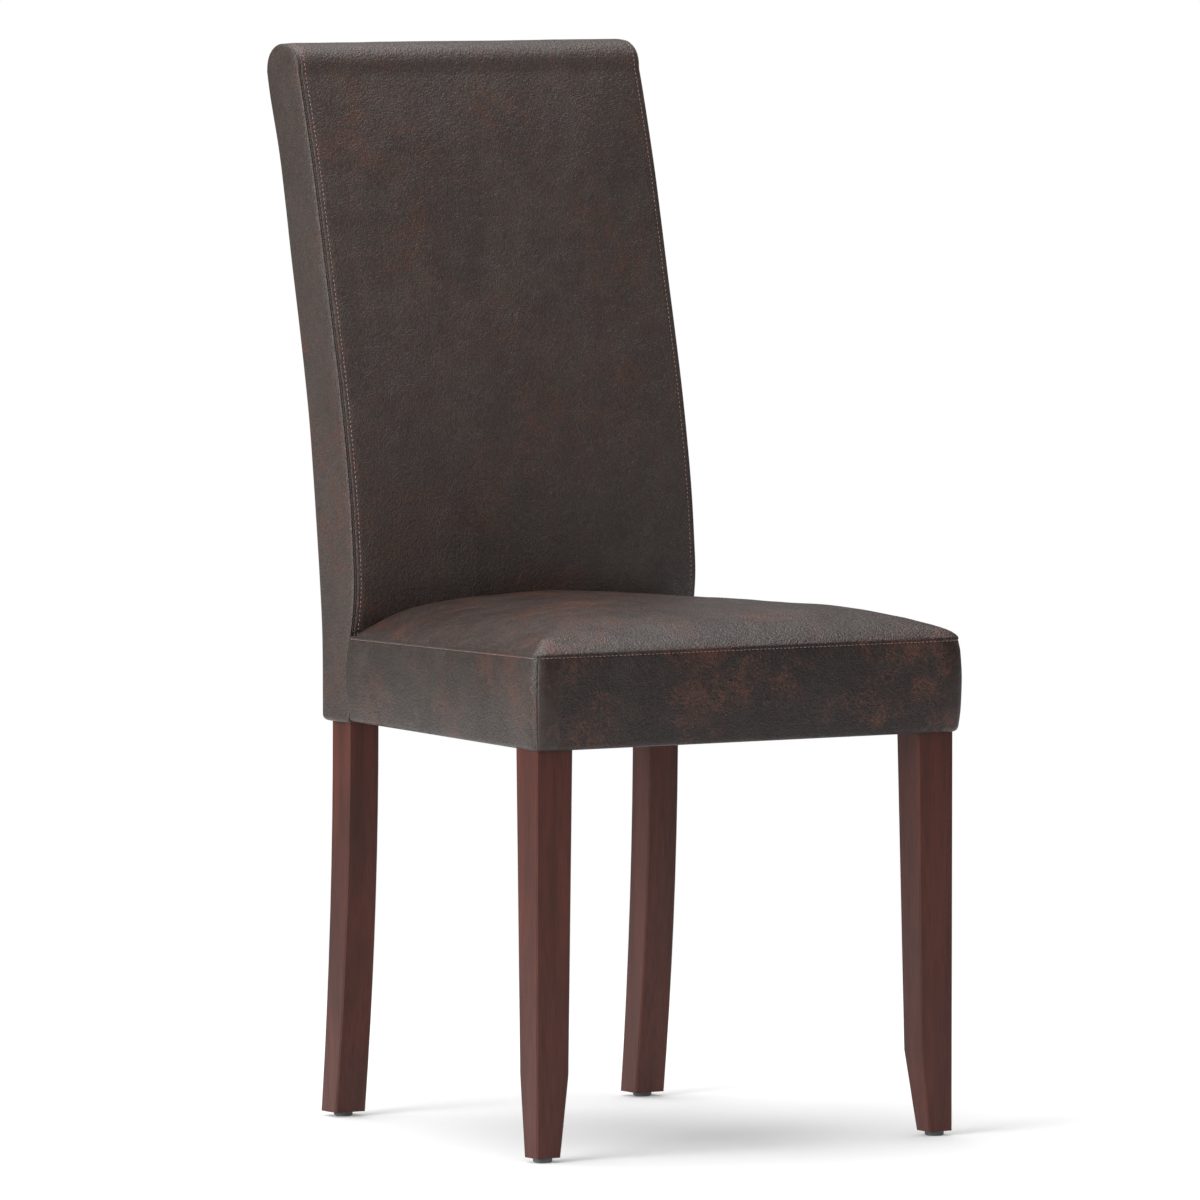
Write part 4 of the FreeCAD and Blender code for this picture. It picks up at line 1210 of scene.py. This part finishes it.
@dataclass(frozen=True)
class SeatBand:
    """Stitched band round the seat, in three lengths that meet at the front corners.

    Attributes:
        belly: How far the band swells between its edges.
        turn: Radius of the under edge.
        hem: Width of the hem underneath.
        leather: Thickness of the leather.
        stitch_drop: Distance from the seam down to the topstitching.
        sink: Depth of the groove that the topstitching lies in.
        sink_width: Half its width.
        sewn: Height of the upper part that holds the topstitching.
        lip: How far the upper edge turns in.
        lip_drop: How far it turns down.
        drawn: How far a corner seam is drawn in.
        ripple: Swellings of the belly.
        leg_inner: X past which the front hem makes room for a leg.
        leg_depth: How far behind the front the side hem makes room for it.
        leg_front: Distance from the front edge within which the front hem does.
        gap: Distance from the rear ends to the back.
        margin: Distance from the ends of a length to its first and last stitch.
    """

    belly: float = 3.0 * MM
    turn: float = 5.5 * MM
    hem: float = 20 * MM
    leather: float = 1.4 * MM
    stitch_drop: float = 2.9 * MM
    sink: float = 0.5 * MM
    sink_width: float = 0.7 * MM
    sewn: float = 5 * MM
    lip: float = 3.2 * MM
    lip_drop: float = 1.6 * MM
    drawn: float = 0.45 * MM
    ripple: Ripple = Ripple(18, 30, 5.0, 0.7 * MM)
    leg_inner: float = 0.178
    leg_depth: float = 56 * MM
    leg_front: float = 8 * MM
    gap: float = 1.5 * MM
    margin: float = 2.5 * MM

    @property
    def corner_run(self) -> float:
        """Distance from the middle of the front to a corner seam."""
        return SEAT.front_length / 2 + SEAT.corner_length / 2

    @property
    def end_run(self) -> float:
        """Distance from the middle of the front to the rear end of a side."""
        return SEAT.front_length / 2 + SEAT.corner_length + SEAT.side_length - self.gap

    def profile(self) -> list[tuple[str, float]]:
        """List the lines of points from the seam down and under.

        Returns:
            Pairs of the part's name and its coordinate.
        """
        lines = [("lip", number) for number in (0.0, 0.35, 0.7, 1.0)]
        lines += [("wall", number) for number in in_mm(1.0, 1.8, 2.4, 2.9, 3.4, 4.0, 5.0)]
        lines += [("belly", number / 12) for number in range(1, 13)]
        lines += [("turn", number / 6) for number in range(1, 7)]
        lines += [("hem", number / 3) for number in range(1, 4)]
        return lines

    def hem_at(self, run: float) -> float:
        """Give the width of the hem, cut away round the front legs.

        Args:
            run: Distance from the middle of the front.

        Returns:
            The hem's width.
        """
        place, _ = SEAT.path(run)
        inward = place.y - SEAT.front
        at_front = abs(place.x) > self.leg_inner and inward < self.leg_front
        at_side = inward < self.leg_depth and abs(run) > SEAT.front_length / 2
        return self.turn + 0.4 * MM if at_front or at_side else self.hem

    def point(self, run: float, part: str, share: float, dip: float) -> Vector:
        """Give a point of the band.

        Args:
            run: Distance from the middle of the front.
            part: Which part of the profile.
            share: Coordinate along that part.
            dip: How far the end of a length is drawn in here.

        Returns:
            The point.
        """
        place, out = SEAT.path(run)
        seam = SEAT.seam(place.y)
        low = SEAT.bottom + self.turn
        if part == "lip":
            angle = share * math.pi / 2
            away = -self.lip * (1 - math.sin(angle)) - 0.2 * MM
            height = seam - self.lip_drop * math.cos(angle) ** 2 + 0.3 * MM
        elif part == "wall":
            away = 0.25 * MM * smooth(0, self.sewn, share) - 0.1 * MM
            away -= groove(share - self.stitch_drop, self.sink_width, self.sink)
            height = seam - share
        elif part == "belly":
            start = seam - self.sewn
            height = start + (low - start) * share
            away = 0.15 * MM + 4 * (share * 0.94 + 0.06) * (1 - share) * (self.belly - 0.15 * MM)
            away += self.ripple.at(run, height) * math.sin(math.pi * share)
        elif part == "turn":
            angle = share * math.pi / 2
            away = -self.turn * (1 - math.cos(angle))
            height = low - self.turn * math.sin(angle)
        else:
            away = -self.turn - (self.hem_at(run) - self.turn) * share
            height = SEAT.bottom
        shape = out * (away - dip * (0.3 if part in ("turn", "hem") else 1.0))
        return Vector((place.x + shape.x, place.y + shape.y, height))

    def length(self, name: str, start: float, end: float, look: Finish, nodes: Any) -> None:
        """Make one length of the band.

        Args:
            name: Name of the piece.
            start: Where it starts along the outline.
            end: Where it ends.
            look: Its finish.
            nodes: Nodes that it stands for.
        """
        close = in_mm(0.3, 0.6, 0.9, 1.3, 2.3, 3.4, 5.0, 7.5)
        runs = graded(start, end, 4 * MM, close)
        lines = self.profile()
        piece = Piece(name)

        def place(run: float, line: float) -> Vector:
            part, share = lines[int(line)]
            close_by = min(run - start, end - run)
            dip = self.drawn * (1 - smooth(0.0, 1.0 * MM, close_by))
            return self.point(run, part, share, dip)

        piece.grid(runs, list(range(len(lines))), place)
        piece.flip()
        piece.finish(look, "brown_leather", nodes, wall=self.leather)

    def build(self) -> None:
        """Make the three lengths and their topstitching."""
        corner, far = self.corner_run, self.end_run
        for side, sign in (("left", -1), ("right", 1)):
            ends = sorted((sign * corner, sign * far))
            nodes = (f"seat_band_{side}", f"seat_padding_{side}")
            self.length(f"band_{side}", ends[0], ends[1], Finish.SEAT_SIDE, nodes)
        nodes = ("seat_band_front", "seat_padding_front")
        self.length("band_front", -corner, corner, Finish.SEAT_FRONT, nodes)
        thread = Piece("seat_topstitching")
        for start, end in ((-far, -corner), (-corner, corner), (corner, far)):
            runs = spread(start + self.margin, end - self.margin, 4 * MM)
            line, outs = [], []
            for run in runs:
                line.append(self.point(run, "wall", self.stitch_drop, -0.15 * MM))
                outs.append(SEAT.path(run)[1])
            Stitching().sew(thread, line, outs)
        thread.finish(Finish.THREAD, "brown_leather")


@dataclass(frozen=True)
class BackUpholstery:
    """Front panel that wraps over the top, side gussets and outside back.

    Attributes:
        edge: How far the seams are drawn in from the square edge.
        extra: How much further a gusset is drawn in.
        roll: How far a gusset's edge rolls in towards its seam.
        stitch: Distance from the seam to the topstitching.
        padding: Thickness of the front panel with its foam.
        leather: Thickness of the other panels.
        ease: Distance over which a panel rises from its seam.
        low: Height at which the front panel ends, behind the seat.
        step: Distance between its lines of points.
        grooves: Place, half width and depth of each groove beside its seams.
        rear_swell: How much of its crown it has behind the roll.
        level: Heights between which its crown fades out.
        calm: Heights between which its swellings fade.
        swells: Swellings of the front panel.
        turn: Radius of a gusset's under edge.
        roll_run: Width of the part of a gusset that rolls in.
    """

    edge: float = 1.1 * MM
    extra: float = 0.5 * MM
    roll: float = 1.5 * MM
    stitch: float = 6.2 * MM
    padding: float = 8.5 * MM
    leather: float = 1.4 * MM
    ease: float = 7 * MM
    low: float = 0.4445
    step: float = 5 * MM
    grooves: tuple[tuple[float, float, float], ...] = (
        (0.0, 0.5 * MM, 0.7 * MM),
        (2.3 * MM, 0.45 * MM, 0.55 * MM),
        (6.2 * MM, 0.9 * MM, 0.35 * MM),
    )
    rear_swell: float = 0.2
    level: tuple[float, float] = (0.90, 0.99)
    calm: tuple[float, float] = (0.94, 0.985)
    swells: tuple[Ripple, ...] = (Ripple(11, 9, 1.0, 1.2 * MM), Ripple(42, 16, 4.0, 0.55 * MM))
    turn: float = 3 * MM
    roll_run: float = 8 * MM

    @staticmethod
    def loop_frame(line: Sequence[Vector], index: int) -> tuple[Vector, Vector]:
        """Give a point of a side view and its outward direction.

        Args:
            line: The side view, front up and rear down.
            index: Which point.

        Returns:
            The point and the direction.
        """
        before, after = line[max(index - 1, 0)], line[min(index + 1, len(line) - 1)]
        along = (after - before).normalized()
        return line[index], Vector((0, -along.z, along.y))

    @staticmethod
    def out_of(point: Vector, front: bool) -> Vector:
        """Give the outward direction in the side view.

        Args:
            point: A point of the side view.
            front: Whether it lies on the front.

        Returns:
            The direction.
        """
        if point.z > BACK.roll_z:
            return (point - BACK.middle).normalized()
        return Vector((0, -1 if front else 1, 0))

    def front_offset(self, distance: float) -> float:
        """Give how far the front panel stands off the seam line.

        Args:
            distance: Distance from the gusset seam.

        Returns:
            The offset, without the crown.
        """
        away = (smooth(0.0, self.ease, distance) - 1) * self.edge
        sunk = [groove(distance - place, width, depth) for place, width, depth in self.grooves]
        return away - sum(sunk)

    def crown_at(self, x: float, height: float) -> float:
        """Give how far the front panel swells.

        Args:
            x: Place across the back.
            height: Height of the point.

        Returns:
            The swelling.
        """
        share = abs(x) / BACK.half
        fade = 1 - smooth(*self.level, height)
        return BACK.crown * (1 - share**3.2) * fade

    def front_panel(self) -> None:
        """Make the front panel with its foam, over the roll to the rear seam."""
        line = BACK.loop(self.low, BACK.rear_seam, self.step)
        wide = BACK.half - self.roll
        close = in_mm(0.45, 0.9, 1.4, 1.85, 2.3, 2.75, 3.3, 4.2, 5.3, 6.2, 7.1, 9.0, 12.0)
        across = graded(-wide, wide, self.step, close)
        piece = Piece("back_front")
        last = len(line) - 1

        def place(x: float, row: float) -> Vector:
            point, out = self.loop_frame(line, int(row))
            away = self.front_offset(wide - abs(x))
            swell = self.rear_swell if point.y > BACK.middle.y else 1.0
            away += self.crown_at(x, point.z) * swell
            ripple = sum(swelling.at(x, point.z) for swelling in self.swells)
            calm = 1 - 0.75 * smooth(*self.calm, point.z)
            away += ripple * calm * smooth(0.004, 0.03, wide - abs(x))
            close_by = (last - int(row)) * self.step
            away -= 0.9 * MM * (1 - smooth(0.0, 6 * MM, close_by))
            return Vector((x, point.y + out.y * away, point.z + out.z * away))

        piece.grid(across, list(range(len(line))), place)
        panel = piece.finish(
            Finish.BACK_FRONT, "brown_leather", ("back_cover_front", "back_foam"), self.padding
        )

        thread = Piece("back_topstitching")
        for sign in (-1, 1):
            x = sign * (wide - self.stitch)
            sewn = [place(x, row) for row in range(len(line) - 2)]
            outs = [self.loop_frame(line, row)[1] for row in range(len(line) - 2)]
            Stitching(length=3.0 * MM).sew(thread, sewn, outs)
        thread.finish(Finish.THREAD, "brown_leather")

    def gusset(self, side: str, sign: int) -> None:
        """Make one side gusset.

        Args:
            side: Name of the side.
            sign: -1 for left, 1 for right.
        """
        close = in_mm(0.4, 1.0, 2.0, 3.0, 5.0)
        heights = graded(BACK.bottom, BACK.roll_z, 6 * MM, close)
        arcs = [math.pi / 2 * index / 10 for index in range(1, 11)]
        rows: list[tuple[Vector, Vector]] = [
            (BACK.side(height, True), BACK.side(height, False)) for height in heights
        ]
        rows += [(BACK.over(angle), BACK.over(math.pi - angle)) for angle in arcs]
        shares = [0.0, 0.008, 0.018, 0.034, 0.06, 0.09, 0.13, 0.18, 0.25, 0.35, 0.5]
        shares += [1 - share for share in reversed(shares[:-1])]
        piece = Piece(f"gusset_{side}")
        sunk = self.edge + self.extra
        swelling = Ripple(25, 14, sign * 2.0, 0.7 * MM)

        def place(share: float, row: float) -> Vector:
            front, rear = rows[int(row)]
            front = front - self.out_of(front, True) * sunk
            rear = rear - self.out_of(rear, False) * sunk
            point = front.lerp(rear, share)
            run = (rear - front).length
            away = min(share, 1 - share) * run
            if point.z > BACK.roll_z:
                aside = abs(point.y - BACK.middle.y) / (BACK.reach - sunk)
                above = (point.z - BACK.roll_z) / (BACK.roll - sunk)
                norm = math.sqrt(aside**2 + above ** (2 / BACK.square))
                away = min(away, max(1 - norm, 0.0) * BACK.reach)
            draw = self.roll * (1 - min(away / self.roll_run, 1.0)) ** 2
            draw += groove(away, 0.5 * MM, 0.4 * MM)
            belly = 0.6 * MM + swelling.at(point.y, point.z)
            draw -= belly * smooth(0.004, 0.02, away)
            lift = min(point.z - BACK.bottom, self.turn)
            draw += self.turn - math.sqrt(max(self.turn**2 - (self.turn - lift) ** 2, 0.0))
            return Vector((sign * (BACK.half - draw), point.y, point.z))

        piece.grid(shares, list(range(len(rows))), place)
        piece.weld()
        piece.finish(Finish.GUSSET, "brown_leather", (f"back_gusset_{side}",), self.leather)

    def outside(self) -> None:
        """Make the outside back, drawn in along its seams."""
        wide = BACK.half - self.roll
        close = in_mm(0.6, 1.3, 2.2, 3.2, 5.0, 8.0, 12.0)
        across = graded(-wide, wide, 6 * MM, close)
        heights = graded(BACK.bottom, BACK.rear_seam - 0.3 * MM, 6 * MM, close)
        swelling = Ripple(12, 10, 9.0, 0.8 * MM)
        piece = Piece("outside_back")

        def place(x: float, height: float) -> Vector:
            point = BACK.side(height, False)
            edge = min(wide - abs(x), BACK.rear_seam - height)
            away = -self.edge * (1 - smooth(0.0, self.ease, edge))
            away -= groove(edge, 0.8 * MM, 0.7 * MM)
            away += swelling.at(x, height) * smooth(0, 0.03, edge)
            return Vector((x, point.y + away, height))

        piece.grid(across, heights, place)
        piece.flip()
        nodes = ("back_cover_outside", "back_padding")
        piece.finish(Finish.OUTSIDE, "brown_leather", nodes, self.leather)

    def build(self) -> None:
        """Make every panel of the back."""
        self.front_panel()
        for side, sign in (("left", -1), ("right", 1)):
            self.gusset(side, sign)
        self.outside()


class Frame:
    """Wood, hardware and cloth that keep the shapes of their nodes."""

    looks = {
        "front_leg_left": Finish.STAINED,
        "front_leg_right": Finish.STAINED,
        "rear_post_left": Finish.STAINED,
        "rear_post_right": Finish.STAINED,
        "leg_glides": Finish.GREY_PLASTIC,
        "corner_bolts": Finish.ZINC,
        "seat_webbing": Finish.WEBBING,
        "back_webbing": Finish.WEBBING,
        "dust_cover": Finish.DUST_CLOTH,
    }

    def dress(self, nodes: dict[str, bpy.types.Object]) -> None:
        """Give each node that stays its material.

        Args:
            nodes: The nodes by name.
        """
        for name, thing in nodes.items():
            look = self.looks.get(name, Finish.RAW_LEVEL)
            thing.data.materials.clear()
            thing.data.materials.append(material_of(look))
            log.info("%s dressed as %s", name, look.name.lower())


@dataclass(frozen=True)
class Lamp:
    """Soft studio lamp.

    Attributes:
        name: Name of the lamp.
        place: Where it stands.
        size: Its width.
        power: Its power in watts.
    """

    name: str
    place: tuple[float, float, float]
    size: float
    power: float

    def light(self) -> bpy.types.Object:
        """Switch it on, aimed at the chair.

        Returns:
            The lamp.
        """
        data = bpy.data.lights.new(self.name, "AREA")
        data.shape = "DISK"
        data.size = self.size
        data.energy = self.power
        lamp = bpy.data.objects.new(self.name, data)
        bpy.context.scene.collection.objects.link(lamp)
        aim = Vector(AIM) - Vector(self.place)
        lamp.location = self.place
        lamp.rotation_euler = aim.to_track_quat("-Z", "Y").to_euler()
        return lamp


@dataclass(frozen=True)
class Studio:
    """White studio and the camera of the photograph.

    Attributes:
        eye: Where the camera stands.
        yaw: Its turn from straight ahead, in degrees.
        pitch: How far it looks down, in degrees.
        lens: Its focal length in millimetres.
        ambient: Strength of the even light from all round.
        floor_share: How much of the light the floor throws back.
        floor_glow: How bright the floor is in full shadow.
        floor_radius: Radius of the floor.
        fade: Distances between which the floor fades to pure white.
        lamps: Its lamps.
    """

    eye: tuple[float, float, float] = (-5.9861, -9.6175, 1.2392)
    yaw: float = 31.93
    pitch: float = 3.80
    lens: float = 367.7
    ambient: float = 0.26
    floor_share: float = 0.72
    floor_glow: float = 0.20
    floor_radius: float = 3.0
    fade: tuple[float, float] = (0.7, 1.8)
    lamps: tuple[Lamp, ...] = (
        Lamp("key", (-4.2, -0.9, 2.0), 3.0, 175.0),
        Lamp("top", (-0.2, 0.5, 3.4), 4.0, 150.0),
        Lamp("fill", (-1.5, -4.8, 2.6), 2.5, 25.0),
        Lamp("sheen", (-4.4, -0.5, 0.9), 0.8, 38.0),
    )

    def sky(self) -> None:
        """Light evenly from all round, and show pure white behind the chair."""
        world = bpy.data.worlds.new("studio")
        world.use_nodes = True
        bpy.context.scene.world = world
        tree = world.node_tree
        tree.nodes.clear()
        nodes = Nodes(tree)
        path = nodes.add("LightPath", {})
        seen = nodes.add("Background", {"Color": (1.0, 1.0, 1.0, 1.0), "Strength": 1.0})
        lit = nodes.add("Background", {"Color": (1.0, 1.0, 1.0, 1.0), "Strength": self.ambient})
        shares = {0: path.outputs["Is Camera Ray"], 1: lit.outputs[0], 2: seen.outputs[0]}
        both = nodes.add("MixShader", shares)
        leave = tree.nodes.new("ShaderNodeOutputWorld")
        nodes.feed(leave.inputs[0], both.outputs[0])

    def floor(self) -> None:
        """Lay a white floor that keeps soft shadows near the chair and fades to pure white."""
        mesh = bmesh.new()
        bmesh.ops.create_circle(mesh, cap_ends=True, segments=96, radius=self.floor_radius)
        data = bpy.data.meshes.new("floor")
        mesh.to_mesh(data)
        mesh.free()
        floor = bpy.data.objects.new("floor", data)
        bpy.context.scene.collection.objects.link(floor)
        material, nodes, shader, place = new_material("floor_white")
        material.node_tree.nodes.remove(shader)
        matte = nodes.add("BsdfDiffuse", {"Color": (self.floor_share,) * 3 + (1.0,)})
        glow = nodes.add("Emission", {"Strength": self.floor_glow})
        near = nodes.add("AddShader", {0: matte.outputs[0], 1: glow.outputs[0]})
        white = nodes.add("Emission", {"Color": (1.0, 1.0, 1.0, 1.0), "Strength": 1.0})
        away = nodes.add("VectorMath", {0: place}, operation="LENGTH").outputs["Value"]
        shares = {0: nodes.step(away, *self.fade), 1: near.outputs[0], 2: white.outputs[0]}
        both = nodes.add("MixShader", shares)
        leave = material.node_tree.nodes["Material Output"]
        nodes.feed(leave.inputs["Surface"], both.outputs[0])
        data.materials.append(material)

    def camera(self) -> None:
        """Set the camera up as the photograph has it."""
        data = bpy.data.cameras.new("camera")
        data.sensor_width = 36.0
        data.lens = self.lens
        data.clip_end = 100.0
        camera = bpy.data.objects.new("camera", data)
        bpy.context.scene.collection.objects.link(camera)
        camera.location = self.eye
        turn = Euler((math.radians(90 - self.pitch), 0.0, -math.radians(self.yaw)), "XYZ")
        camera.rotation_euler = turn
        bpy.context.scene.camera = camera

    def build(self) -> None:
        """Set up light, floor and camera."""
        self.sky()
        self.floor()
        for lamp in self.lamps:
            lamp.light()
        self.camera()
        bpy.context.scene.view_settings.view_transform = "Standard"
        log.info("studio with %d lamps", len(self.lamps))


def main() -> None:
    """Dress the frame, make the upholstery and set up the studio."""
    logging.basicConfig(level=logging.INFO, format="%(name)s: %(message)s")
    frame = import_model()
    Frame().dress(frame["nodes"])
    SeatCushion().build()
    SeatBand().build()
    BackUpholstery().build()
    Studio().build()


if __name__ == "__main__":
    main()
